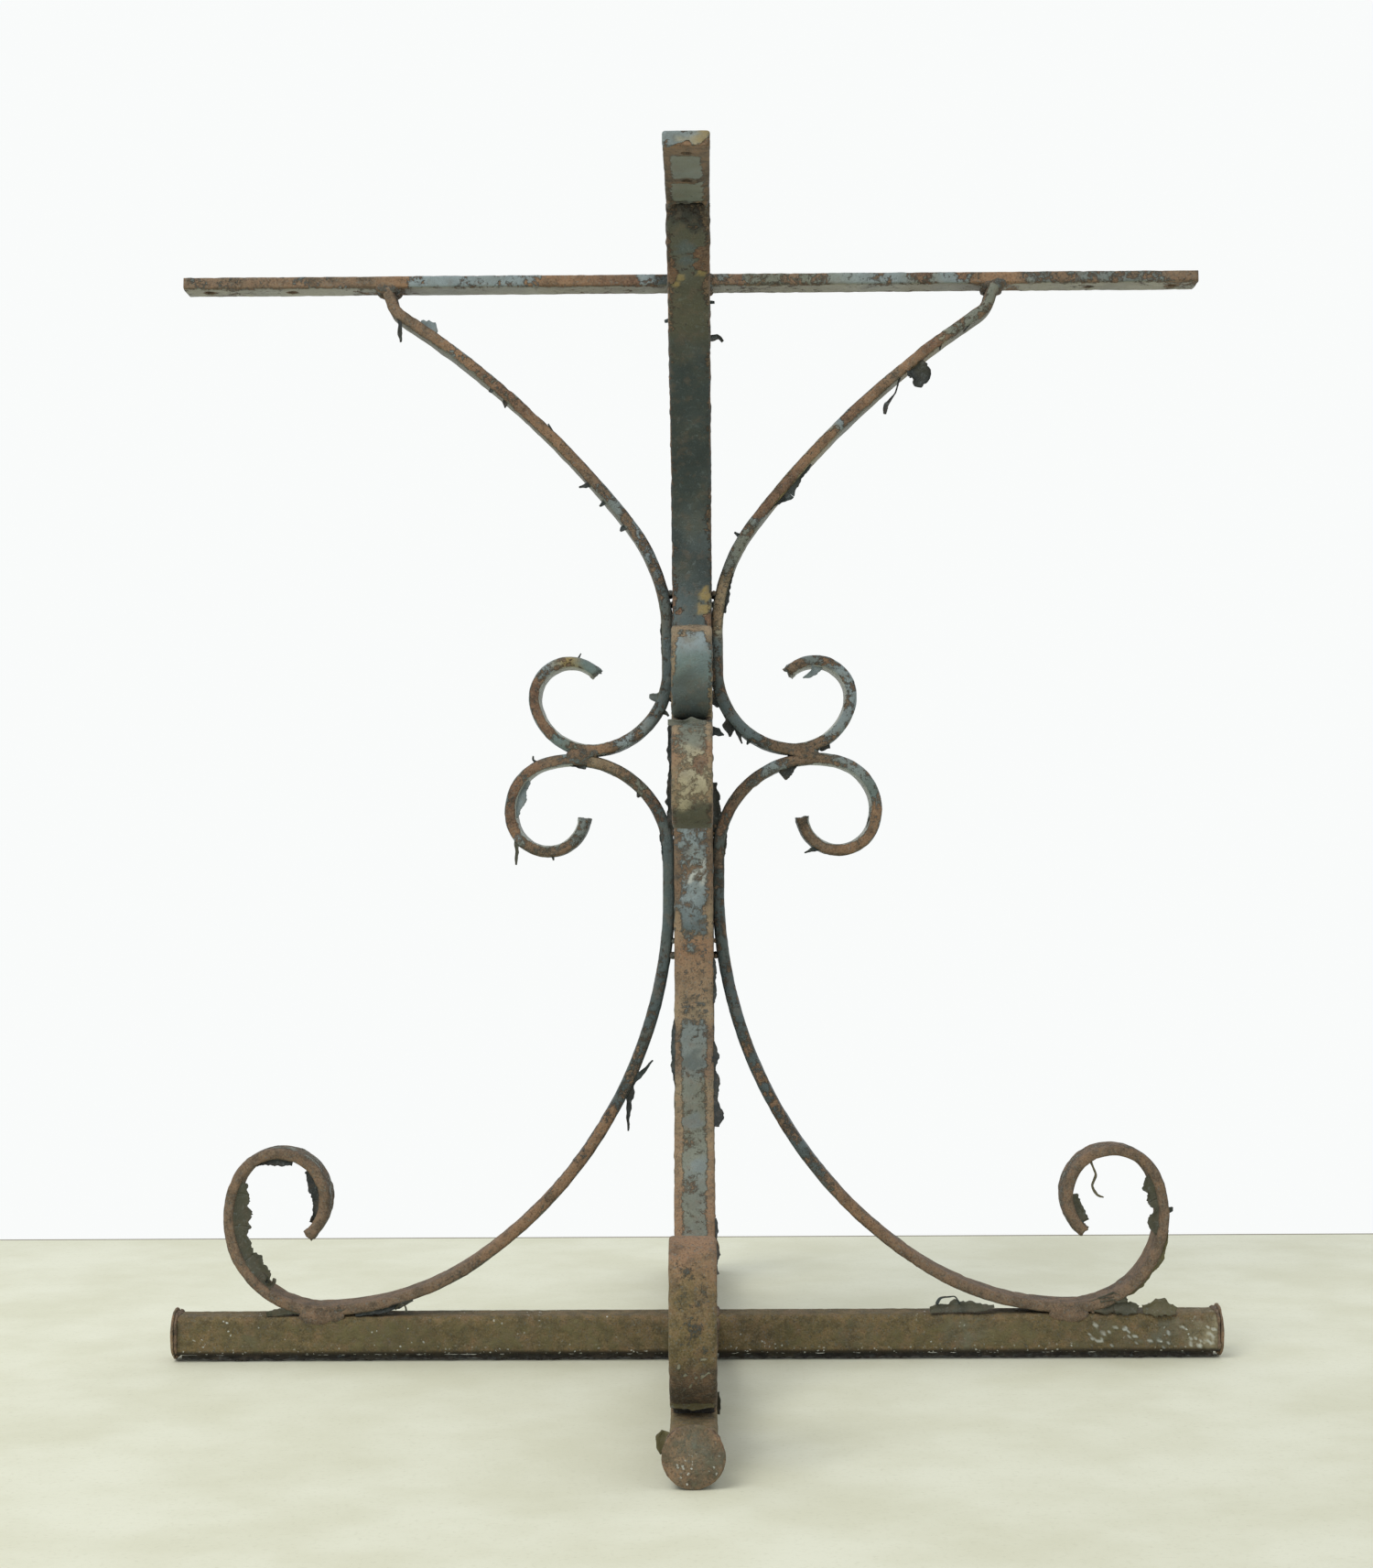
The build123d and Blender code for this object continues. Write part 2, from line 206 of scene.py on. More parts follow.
def section(thickness, width, corner):
    """Points round a bar's section: (across the thickness, across the width, edge).

    The edge is 1 on the rounded corners and falls to 0 a few millimetres away.
    """
    half_t, half_w = thickness / 2 - corner, width / 2 - corner
    corners = [(half_t, half_w, 0), (-half_t, half_w, 90), (-half_t, -half_w, 180), (half_t, -half_w, 270)]
    arcs = []
    for centre_t, centre_w, degrees in corners:
        angles = [math.radians(degrees + turn) for turn in (0, 30, 60, 90)]
        arcs.append([(centre_t + corner * math.cos(a), centre_w + corner * math.sin(a)) for a in angles])
    points = []
    for arc, following in zip(arcs, arcs[1:] + arcs[:1]):
        points += [(t, w, 1.0) for t, w in arc]
        (t0, w0), (t1, w1) = arc[-1], following[0]
        length = math.hypot(t1 - t0, w1 - w0)
        steps = max(2, round(length / SECTION_STEP))
        for j in range(1, steps):
            share = j / steps
            near = min(share, 1 - share) * length
            edge = 1 - smooth(0.0, 3.0 * MM, near)
            points.append((t0 + (t1 - t0) * share, w0 + (w1 - w0) * share, edge))
    return points


def ring_faces(first, count):
    """Faces between a ring of vertices and the ring that follows it in the list."""
    faces = []
    for j in range(count):
        a, b = first + j, first + (j + 1) % count
        faces.append((a, b, b + count, a + count))
    return faces


Place = namedtuple("Place", "run thick wide edge")  # along the bar; -1 to 1 across it; 0 to 1


def sweep(rows, points):
    """A closed bar: its vertices, its faces and a Place for each vertex."""
    vertices, faces, places = [], [], []
    count = len(points)
    most_t = max(t for t, w, edge in points)
    most_w = max(w for t, w, edge in points)
    run = 0.0
    for i, (position, tangent, normal) in enumerate(rows):
        if i:
            run += (position - rows[i - 1][0]).length
        across = tangent.cross(normal)
        for t, w, edge in points:
            vertices.append(position + normal * t + across * w)
            places.append(Place(run, t / most_t, w / most_w, edge))
    last = (len(rows) - 1) * count
    for first in range(0, last, count):
        faces += ring_faces(first, count)
    for first in (0, last):
        outline = list(range(first, first + count))
        ring = outline
        centre = rows[first // count][0]
        for shrink in (0.82, 0.55, 0.25):
            inner = []
            for j in outline:
                inner.append(len(vertices))
                vertices.append(centre.lerp(vertices[j], shrink))
                here = places[j]
                places.append(Place(here.run, here.thick * shrink, here.wide * shrink, 0.4 * shrink))
            for j in range(count):
                k = (j + 1) % count
                faces.append((ring[j], ring[k], inner[k], inner[j]))
            ring = inner
        faces.append(tuple(ring))
    return vertices, faces, places


class Bar:
    """The line of a bar in place, to sweep it and to hang paint on it."""

    def __init__(self, rows):
        self.rows = rows
        self.runs = [0.0]
        for before, after in zip(rows, rows[1:]):
            self.runs.append(self.runs[-1] + (after[0] - before[0]).length)

    def at(self, run):
        """(position, tangent, normal, across) at a distance from the bar's start."""
        index = 0
        while index < len(self.runs) - 2 and self.runs[index + 1] < run:
            index += 1
        share = (run - self.runs[index]) / (self.runs[index + 1] - self.runs[index])
        here, there = self.rows[index], self.rows[index + 1]
        tangent = here[1].lerp(there[1], share).normalized()
        normal = here[2].lerp(there[2], share).normalized()
        return here[0].lerp(there[0], share), tangent, normal, tangent.cross(normal)


def straight(start, end, normal):
    """Rows of a straight bar."""
    length = (end - start).length
    steps = round(length / ROW)
    tangent = (end - start).normalized()
    return [(start.lerp(end, i / steps), tangent, normal) for i in range(steps + 1)]


def middle_over(lowest, down_leg):
    """Height of a scroll's straight stretch, from the lowest point of its downward leg."""
    return lowest + THICK / 2 + max(station[1] for station in leg_stations(down_leg)) + CONTACT / 2


def scroll_rows(kind, arm):
    """Rows of a scroll as it would lie on the right-hand arm."""
    legs = ARM_LEGS[arm]
    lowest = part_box(f"{kind}_scroll_{arm}")[0].z
    if kind == "upper":
        middle = middle_over(lowest, legs.upper_down)
        return scroll_path(middle, legs.upper_up, legs.upper_down, top=UNDERSIDE)
    middle = middle_over(lowest, legs.lower_down)
    return scroll_path(middle, legs.lower_up, legs.lower_down)


def scroll_bar(kind, arm):
    """The line of one of the eight scrolls."""
    turn = arm_matrix(arm).to_3x3()
    return Bar([(turn @ p, turn @ t, turn @ n) for p, t, n in scroll_rows(kind, arm)])


# ---------------------------------------------------------------- stories of the paint
# How the weathering changes along a bar, one Stop after another. Sides, outer and inner say how
# much paint is left on the narrow sides and the two faces of the bar: 0 is bare rust, 1 is sound
# paint. Wear takes paint off towards the edges of the faces. On a curl, outer is its inside.
Stop = namedtuple("Stop", "mm sides outer inner wear paint rust")


def story(table):
    """Stops from rows of millimetres, four percentages, a paint and a rust."""
    stops = []
    for row in table.strip().split("\n"):
        mm, *percentages, paint, rust = row.split()
        shares = [int(percentage) / 100 for percentage in percentages]
        stops.append(Stop(int(mm), *shares, paint.replace("_", " "), rust.replace("_", " ")))
    return stops


def even_story(coat, paint, rust):
    """Stops of a piece that weathers alike all over."""
    return [Stop(mm, coat, coat, coat, 0.0, paint, rust) for mm in (0, 100)]


UPPER_LEFT = story("""
  0  5  30  40  20 green_grey brown
 38  5  55  40  10 green_grey brown
 60 26  75  55   0 mid_grey orange
110 34  75  55   0 green_grey red
150 24  75  55   0 olive orange
200 34  70  60   0 mid_grey brown
232 52  70  60   0 blue_grey brown
280 66  60  60   0 slate brown
345 72  70  80   0 slate brown
385 62  60  80  10 blue_grey brown
400 25  40  70  10 green_grey orange
415 35  40  70  10 green_grey brown
428 66  60  80  10 teal brown
448 20  60  75  10 mid_grey red
470 25  55  75  10 mid_grey red
485 60  50  80  10 blue_grey brown
500 42  40  70  10 ochre brown
512 75  70  70  10 teal brown
520 60  60  60  10 mid_grey brown
""")
UPPER_RIGHT = story("""
  0 80  60  40  10 green_grey brown
 42 70  65  40  10 green_grey brown
 56 16  70  55   0 cream red
 84 22  75  55   0 ochre orange
 92 50  70  60   0 green_grey brown
108 14  75  60   0 olive orange
134 30  75  60   0 blue_grey red
142 62  75  60   0 blue_grey brown
154 16  75  60   0 cream orange
200 24  70  60   0 ochre red
216 42  70  60   0 blue_grey red
240 70  70  60   0 green_grey brown
268 42  60  60   0 mid_grey tan
292 34  60  60  10 cream tan
312 64  60  70   0 slate brown
385 70  60  80   0 slate brown
402 20  40  70  10 green_grey brown
424 40  50  70  10 mid_grey brown
446 68  60  80  10 blue_grey brown
480 62  50  80  10 blue_grey brown
500 50  50  70  10 mid_grey orange
520 42  40  50  10 mid_grey brown
""")
# Painted light on the front upper scroll: the stops at 0 and 9 mm, just under the top bar, are near black as
# painted shadow, and on its curl the paint goes from black slate at 406 mm, painted shade on the lower part,
# to blue grey at 472 mm, a painted highlight on the upper part.
UPPER_FRONT = story("""
  0 45  70  50  20 crust dark
  9 45  60  50  20 black_slate dark
 16 50  80  50  20 moss dark
 45 50  74  50  20 moss red
 60 50  80  50  20 moss brown
 90 60  92  50  10 moss brown
125 60 100  60  10 deep_slate brown
278 60 100  60  20 deep_slate brown
307 60  82  60  20 slate red
392 50  60  80  30 deep_slate tan
406 50  60  96  30 black_slate tan
432 50  60 115  40 deep_slate tan
446 50  60 115  50 slate tan
460 50  60 110  60 teal tan
472 45  60  90  60 blue_grey tan
480 35  50  40  40 olive tan
512 30  40  30  20 green_grey tan
""")
LOWER_LEFT = story("""
  0 55  60  60  10 mid_grey brown
 22 45  60  60  10 mid_grey brown
 40 62  50  60  10 green_grey brown
 52 30  50  60  10 blue_grey orange
 66 22  50  70  10 mid_grey red
106 22  60  70  10 mid_grey red
122 50  60  70  10 blue_grey brown
138 62  60  60  10 teal brown
152 22  40  60  10 green_grey tan
176 38  50  60  10 green_grey brown
200 62  60  70   0 slate red
250 70  60  80   0 slate brown
330 68  60  80   0 slate brown
372 58  60  70   0 slate brown
420 36  50  60   0 slate orange
500 20  30  60   0 green_grey orange
560  8  10  50   0 green_grey brown
880  2   2  35   0 green_grey brown
""")
LOWER_RIGHT = story("""
  0 35  60  60  10 mid_grey dark
 24 30  50  60  10 mid_grey brown
 40 18  50  60  10 green_grey orange
 66 28  50  70  10 blue_grey orange
 84 62  60  70  10 teal brown
110 50  60  70  10 blue_grey brown
138 34  50  60  10 green_grey brown
160 55  40  60  10 blue_grey brown
186 35  50  60  10 green_grey brown
214 22  60  70   0 slate red
232 50  60  80   0 slate brown
330 72  60  80   0 slate brown
376 40  60  70   0 slate orange
440 52  50  60   0 slate brown
480 24  30  60   0 green_grey orange
560  8  10  50   0 green_grey brown
880  2   2  35   0 green_grey brown
""")
LOWER_FRONT = story("""
  0 40  40  50  10 mid_grey brown
 30 40  50  86  10 moss brown
 58 40  50  80  10 moss brown
 65 40  40  50  10 cream tan
 84 40  40  56  20 cream tan
 96 40  62  64  20 green_grey orange
108 40  64  66  30 green_grey tan
124 40  66  66  30 teal tan
150 40  66  50  30 green_grey tan
215 50  80  60  10 slate brown
240 50  62  60  20 blue_grey brown
256 50  70  60  20 blue_grey brown
276 50  66  60  20 blue_grey brown
296 50  60  60  30 slate tan
310 50  42  60  20 mid_grey orange
358 50  40  60  30 mid_grey tan
374 50  72  60  30 mid_grey brown
392 50  72  60  80 mid_grey brown
404 50  72  60 110 green_grey tan
519 40  74  60 120 green_grey orange
563 30  60  60 120 green_grey brown
657 20  30  40  30 olive brown
700 10  10  20   0 moss dark
722 10  10  24   0 moss dark
740 10  10  20  20 moss dark
756 10  10  26  20 green_grey olive_brown
780  5  10  24  20 green_grey olive_brown
806  5  10  16  20 olive orange
826  5  10   6   0 olive orange
872  5   2  15   0 olive brown
""")
SCROLL_STORIES = {
    "upper": {"right": UPPER_RIGHT, "back": UPPER_LEFT, "left": UPPER_LEFT, "front": UPPER_FRONT},
    "lower": {"right": LOWER_RIGHT, "back": LOWER_LEFT, "left": LOWER_LEFT, "front": LOWER_FRONT},
}
POST_STORY = story("""
  0 60  60  60  20 slate brown
220 72  72  72  20 slate brown
330 48  48  48  20 slate orange
430 66  66  66  20 slate brown
600 50  50  50  30 mid_grey brown
680 20  20  20  20 olive brown
""")
TOP_CROSS_STORY = story("""
  0 20  55  60  10 mid_grey brown
 22 55  60  75  10 mid_grey brown
 60 42  60  78  10 mid_grey brown
104 55  55  78  10 blue_grey brown
120 12  40  50  10 mid_grey brown
144 20  50  60  10 mid_grey orange
154 85  60  78  10 blue_grey orange
226 72  60  80  10 blue_grey orange
244 16  50  76  10 green_grey orange
292 22  50  74  10 green_grey red
300 72  55  70  10 blue_grey red
316 72  55  70  10 deep_slate dark
346 66  55  70  10 deep_slate dark
354 40  55  70  10 mid_grey brown
364 34  50  60  10 blue_grey red
372 66  50  62  10 green_grey tan
400 70  60  72  10 green_grey brown
470 82  60  76  10 blue_grey brown
486 62  55  76  10 green_grey red
506 80  55  72  10 blue_grey red
518 30  50  60  10 green_grey orange
548 30  50  60  10 green_grey orange
560 62  60  76  10 mid_grey brown
640 70  60  76  10 mid_grey brown
668 45  55  60  10 green_grey brown
""")
TOP_ARM_STORY = story("""
  0 50  55  55  40 mid_grey brown
190 50  55  55  60 mid_grey brown
198 50  60  95  80 green_grey dark
243 50  60  95  80 green_grey dark
248 50  60  10  20 green_grey dark
254 50  60  10  20 green_grey dark
260 50  60  95 110 green_grey dark
298 50  60  95 110 green_grey brown
304 50  60  10  20 green_grey brown
322 50  60  15  20 blue_grey orange
""")
TUBE_STORY = story("""
  0 46  20  30  10 green_brown olive_brown
110 56  30  30  10 green_brown olive_brown
240 40  20  30  10 green_brown olive_brown
350 30  15  30  10 green_brown olive_brown
430 34  20  30  10 green_brown olive_brown
520 42  25  30  10 green_brown olive_brown
640 50  30  30  10 olive olive_brown
680 56  30  30  10 cream olive_brown
""")


# ---------------------------------------------------------------- weathering
Spot = namedtuple("Spot", "centre radius coat paint rust")  # a patch that differs from the story


class Painter:
    """Says how much paint is left at a place on a bar, and the colours of its paint and rust."""

    FACE_TINT = 0.6     # how far a face's own paint colour replaces that of the stops
    CURL_COAT = 0.35    # the inside of a curl keeps more paint
    CURL_PALE_AND_HIGHLIGHT = 0.75    # and it is paler: partly pale paint, partly a painted highlight on its lit inside face

    def __init__(self, stops, seed, spots=(), outer_paint=None, inner_paint=None, more=0.0,
                 warmth=0.3, curl=None):
        self.stops = stops
        self.seed = seed
        self.spots = spots
        self.outer_paint = outer_paint
        self.inner_paint = inner_paint
        self.more = more
        self.warmth = warmth
        self.curl = curl                            # (first, last) run of a curl in millimetres

    def tell(self, place, shifted):
        """The story at a place: (coat, paint, rust)."""
        mm = shifted / MM
        before = after = self.stops[0]
        for after in self.stops:
            if after.mm >= mm:
                break
            before = after
        share = smooth(0.0, 1.0, (mm - before.mm) / max(after.mm - before.mm, 1e-6))
        side = smooth(0.90, 0.99, abs(place.wide))
        outer = place.thick > 0
        coat = 0.0
        for stop, part in ((before, 1 - share), (after, share)):
            face = stop.outer if outer else stop.inner
            flat = face - stop.wear * smooth(0.45, 0.95, abs(place.wide)) * (1 - side)
            coat += part * (flat + (stop.sides - flat) * side)
        paint = PAINTS[before.paint].lerp(PAINTS[after.paint], share)
        rust = RUSTS[before.rust].lerp(RUSTS[after.rust], share)
        tinted = self.outer_paint if outer else self.inner_paint
        if tinted:
            paint = paint.lerp(PAINTS[tinted], self.FACE_TINT * (1 - side))
        return coat, paint, rust

    def at(self, point, place):
        """(coat, paint, rust) at a point: the story, made uneven by noise, spots and dirt."""
        seed = self.seed
        slip = 9 * MM * wave(point, 19 * MM, seed) + 4 * MM * wave(point, 6 * MM, seed)
        coat, paint, rust = self.tell(place, place.run + slip)
        coat += 0.22 * wave(point, 30 * MM, seed + 1) + 0.22 * wave(point, 9 * MM, seed + 2)
        coat += 0.22 * wave(point, 4.5 * MM, seed + 11)
        coat += self.more - 0.16 * place.edge * (1 + wave(point, 13 * MM, seed + 3))
        # Inside a curl: more paint, lightened towards pale, partly pale paint and partly a painted highlight.
        if self.curl and place.thick > 0.8 and self.curl[0] < place.run / MM < self.curl[1]:
            coat += self.CURL_COAT
            paint = paint.lerp(PAINTS["pale"], self.CURL_PALE_AND_HIGHLIGHT)
        for spot in self.spots:
            reach = (point - spot.centre).length
            if reach > 2 * spot.radius:
                continue
            reach += 0.75 * spot.radius * wave(point, 0.7 * spot.radius, seed + 4)
            share = 0.85 * (1 - smooth(0.55 * spot.radius, 1.05 * spot.radius, reach))
            coat += spot.coat * share
            if spot.paint:
                paint = paint.lerp(PAINTS[spot.paint], share)
            if spot.rust:
                rust = rust.lerp(RUSTS[spot.rust], share)
        light = 1 + 0.18 * wave(point, 24 * MM, seed + 5) + 0.14 * wave(point, 7 * MM, seed + 6)
        warm = smooth(0.05, 0.5, wave(point, 13 * MM, seed + 7))
        rust = rust.lerp(RUSTS["orange"], self.warmth * warm)
        dark = smooth(0.10, 0.55, wave(point, 16 * MM, seed + 8))
        rust = rust.lerp(RUSTS["dark"], 0.35 * dark)
        pale = smooth(0.10, 0.6, wave(point, 33 * MM, seed + 9))
        paint = paint.lerp(PAINTS["blue grey"], 0.22 * pale)
        dirty = smooth(0.05, 0.6, wave(point, 22 * MM, seed + 10))
        paint = paint.lerp(PAINTS["olive"], 0.16 * dirty)
        return coat, paint * light, rust * light


def relief(point, coat, edge, seed, strength, swell):
    """How far the surface stands off the plain bar: swollen rust, pits, lifted paint, worn edges."""
    broad = 0.22 * wave(point, 26 * MM, seed) + 0.20 * wave(point, 8 * MM, seed + 1)
    grain = 0.14 * wave(point, 3.4 * MM, seed + 4)
    pits = max(0.0, wave(point, 4.4 * MM, seed + 2) - 0.2)
    bare = 1 - smooth(0.40, 0.60, coat)
    film = 0.32 * smooth(0.42, 0.58, coat)
    lifted = 0.5 * smooth(0.35, 0.5, coat) * (1 - smooth(0.5, 0.68, coat))
    lifted *= max(0.0, wave(point, 9 * MM, seed + 5))
    worn = 0.20 * edge * (1 + wave(point, 7 * MM, seed + 3))
    return MM * strength * (broad + grain - 0.9 * pits * bare + film + lifted - worn - 0.15 + swell)


def linked(name, data):
    """An object in the scene, of a mesh, a lamp or a camera."""
    thing = bpy.data.objects.new(name, data)
    bpy.context.scene.collection.objects.link(thing)
    return thing


def make_object(name, vertices, faces):
    """A smooth-shaded mesh object with its faces turned outwards."""
    mesh = bpy.data.meshes.new(name)
    mesh.from_pydata(vertices, [], faces)
    work = bmesh.new()
    work.from_mesh(mesh)
    bmesh.ops.recalc_face_normals(work, faces=work.faces[:])
    work.to_mesh(mesh)
    work.free()
    mesh.shade_smooth()
    return linked(name, mesh)


def store(mesh, coats, paints, rusts):
    """Keeps the weathering on the mesh, where the materials read it."""
    layer = mesh.attributes.new("coat", "FLOAT", "POINT")
    layer.data.foreach_set("value", coats)
    for key, colours in (("paint", paints), ("rust", rusts)):
        layer = mesh.attributes.new(key, "FLOAT_COLOR", "POINT")
        layer.data.foreach_set("color", [c for colour in colours for c in (*colour, 1.0)])


def bar_offset(seed, strength=1.0, swell=0.0, tips=()):
    """How a vertex moves to give a bar its relief, with frayed ends at the runs in tips."""
    def offset(normal, point, coat, place):
        height = relief(point, coat, place.edge, seed, strength, swell)
        for tip in tips:
            frayed = 1 - smooth(0.0, 3 * MM, abs(place.run - tip))
            height += 2.4 * MM * frayed * wave(point, 3.4 * MM, seed + 12)
        return normal * height
    return offset


def weather(piece, places, painter, offset):
    """Moves and paints the vertices of a piece. places is a list, or a function of the point."""
    coats, paints, rusts, moved = [], [], [], []
    mesh = piece.data
    for index, vertex in enumerate(mesh.vertices):
        point = vertex.co.copy()
        place = places(point) if callable(places) else places[index]
        coat, paint, rust = painter.at(point, place)
        coats.append(coat)
        paints.append(paint)
        rusts.append(rust)
        moved.append(point + offset(vertex.normal, point, coat, place))
    for vertex, point in zip(mesh.vertices, moved):
        vertex.co = point
    store(mesh, coats, paints, rusts)


def finish_piece(piece, material, nodes=()):
    """Material and body of one piece, and the CAD nodes it stands for."""
    piece.data.materials.append(material)
    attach(piece, "root")
    for node in nodes:
        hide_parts(node)
    return piece


# ---------------------------------------------------------------- materials
def new_node(tree, kind, inputs=(), **settings):
    """A node with its settings, and its inputs given as values or as sockets to link."""
    node = tree.nodes.new(kind)
    for key, value in settings.items():
        setattr(node, key, value)
    for key, value in dict(inputs).items():
        if isinstance(value, bpy.types.NodeSocket):
            tree.links.new(value, node.inputs[key])
        else:
            node.inputs[key].default_value = value
    return node


def math_node(tree, operation, first, second=0.0, third=0.0):
    node = new_node(tree, "ShaderNodeMath", {0: first, 1: second, 2: third}, operation=operation)
    return node.outputs[0]


def ramp(tree, value, low, high, to_low=0.0, to_high=1.0):
    """A smooth step between two values; low may be over high."""
    if low > high:
        low, high, to_low, to_high = high, low, to_high, to_low
    node = new_node(
        tree, "ShaderNodeMapRange",
        {0: value, 1: low, 2: high, 3: to_low, 4: to_high}, interpolation_type="SMOOTHSTEP")
    return node.outputs[0]


def mix_colours(tree, share, first, second, blend="MIX"):
    node = new_node(tree, "ShaderNodeMix", data_type="RGBA", blend_type=blend)
    for index, value in ((0, share), (6, first), (7, second)):
        if isinstance(value, bpy.types.NodeSocket):
            tree.links.new(value, node.inputs[index])
        elif index:
            node.inputs[index].default_value = (*value, 1.0)
        else:
            node.inputs[index].default_value = value
    return node.outputs[2]


def noise_node(tree, where, wavelength, detail=4.0, roughness=0.6, distortion=0.0):
    node = new_node(
        tree, "ShaderNodeTexNoise",
        {"Vector": where, "Scale": 1 / wavelength, "Detail": detail,
         "Roughness": roughness, "Distortion": distortion})
    return node.outputs["Fac"]


def cells_node(tree, where, wavelength):
    node = new_node(tree, "ShaderNodeTexVoronoi", {"Vector": where, "Scale": 1 / wavelength})
    return node.outputs["Distance"]


def tints(tree, colour, rows):
    """Tints a colour where a noise goes from start to end. Rows: noise, start, end, most, tint."""
    for source, start, end, most, tint in rows:
        colour = mix_colours(tree, ramp(tree, source, start, end, 0.0, most), colour, tint)
    return colour


def weighted_sum(tree, base, *parts):
    """A base value plus each (value, factor)."""
    for value, factor in parts:
        base = math_node(tree, "MULTIPLY_ADD", value, factor, base)
    return base


RUST_ROUGHNESS = 0.88
PAINT_ROUGHNESS = 0.5
BUMP = 0.7 * MM


def weathered_metal(
        name, chips=0.9, grain=0.45, specks=0.0, speck_top=14 * MM, shade_top=0.0, soft=0.10,
        lip_depth=0.28, stain=0.5):
    """Old paint over rust. The mesh says where the paint is; noise makes its edge ragged.

    White specks show below speck_top, and painted shade darkens the steel below shade_top, both above the
    floor.
    """
    material = bpy.data.materials.new(name)
    material.use_nodes = True
    tree = material.node_tree
    shader = tree.nodes["Principled BSDF"]
    shader.inputs["Specular IOR Level"].default_value = 0.4
    where = new_node(tree, "ShaderNodeTexCoord").outputs["Object"]
    coat = new_node(tree, "ShaderNodeAttribute", attribute_name="coat").outputs["Fac"]
    paint = new_node(tree, "ShaderNodeAttribute", attribute_name="paint").outputs["Color"]
    rust = new_node(tree, "ShaderNodeAttribute", attribute_name="rust").outputs["Color"]

    tiny = noise_node(tree, where, 1.0 * MM, detail=5, roughness=0.7)
    fleck = noise_node(tree, where, 1.7 * MM, detail=4, roughness=0.75, distortion=0.6)
    small = noise_node(tree, where, 3.0 * MM, detail=6, roughness=0.68, distortion=0.5)
    cloud = noise_node(tree, where, 7 * MM, detail=5, roughness=0.6)
    broad = noise_node(tree, where, 18 * MM, detail=4)
    pits = cells_node(tree, where, 2.2 * MM)

    # Where paint is left: the mesh's own measure, made ragged.
    ragged = weighted_sum(tree, coat, (small, 1.4 * chips), (fleck, 0.7 * chips))
    ragged = math_node(tree, "SUBTRACT", ragged, 1.05 * chips)
    covered = ramp(tree, ragged, 0.5 - soft, 0.5 + soft)
    lip = math_node(
        tree, "MULTIPLY", ramp(tree, ragged, 0.40, 0.49), ramp(tree, ragged, 0.58, 0.50))

    # Rust: dark pits, bright swollen grains, and flecks of paint that stayed on.
    rust = tints(tree, rust, (
        (cloud, 0.42, 0.66, 0.40, RUSTS["orange"]),
        (cloud, 0.54, 0.34, 0.50, RUSTS["dark"]),
        (pits, 0.34, 0.06, 0.50, RUSTS["dark"] * 0.6),
        (fleck, 0.53, 0.66, 0.55, PAINTS["mid grey"]),
        (tiny, 0.48, 0.70, 0.55, RUSTS["tan"]),
        (tiny, 0.48, 0.32, 0.60, RUSTS["dark"] * 0.6)))

    # Paint: dirt in broad clouds, rust bleeding through in grains, chalky bloom.
    paint = tints(tree, paint, (
        (broad, 0.45, 0.75, 0.20, PAINTS["olive"]),
        (cloud, 0.50, 0.68, 0.6 * stain, RUSTS["brown"]),
        (small, 0.46, 0.28, 0.35, PAINTS["blue grey"]),
        (fleck, 0.56, 0.70, stain, RUSTS["dark"]),
        (tiny, 0.55, 0.72, 0.6 * stain, RUSTS["dark"]),
        (tiny, 0.40, 0.24, 0.35, PAINTS["pale"])))

    colour = mix_colours(tree, covered, rust, paint)
    colour = mix_colours(
        tree, math_node(tree, "MULTIPLY", lip, lip_depth), colour, RUSTS["dark"] * 0.5)
    height_above = new_node(tree, "ShaderNodeSeparateXYZ", {0: where}).outputs["Z"]
    # Painted shade: the bottom few millimetres, below shade_top, are darkened almost to black rust.
    if shade_top:
        colour = tints(
            tree, colour, [(height_above, shade_top, shade_top - 3 * MM, 0.9, RUSTS["dark"] * 0.35)])
    if specks:
        often = math_node(
            tree, "MAXIMUM", ramp(tree, broad, 0.54, 0.64),
            ramp(tree, height_above, speck_top, 0.35 * speck_top, 0.0, 0.9))
        size = ramp(tree, tiny, 0.35, 0.65, 0.13, 0.27)
        seen = math_node(tree, "LESS_THAN", cells_node(tree, where, 3.3 * MM), size)
        for share in (ramp(tree, small, 0.46, 0.51), often, specks):
            seen = math_node(tree, "MULTIPLY", seen, share)
        colour = mix_colours(tree, seen, colour, PAINTS["pale"] * 1.25)
    tree.links.new(colour, shader.inputs["Base Color"])

    rough = weighted_sum(tree, RUST_ROUGHNESS, (covered, PAINT_ROUGHNESS - RUST_ROUGHNESS))
    rough = weighted_sum(tree, math_node(tree, "SUBTRACT", rough, 0.10), (tiny, 0.2))
    tree.links.new(rough, shader.inputs["Roughness"])

    bare = math_node(tree, "SUBTRACT", 1.0, covered)
    in_pits = math_node(tree, "MULTIPLY", ramp(tree, pits, 0.34, 0.06), bare)
    height = weighted_sum(tree, covered, (in_pits, -0.35), (small, 1.0), (fleck, 0.5), (tiny, grain))
    bump = new_node(tree, "ShaderNodeBump", {"Height": height, "Strength": 1.0, "Distance": BUMP})
    tree.links.new(bump.outputs["Normal"], shader.inputs["Normal"])
    return material


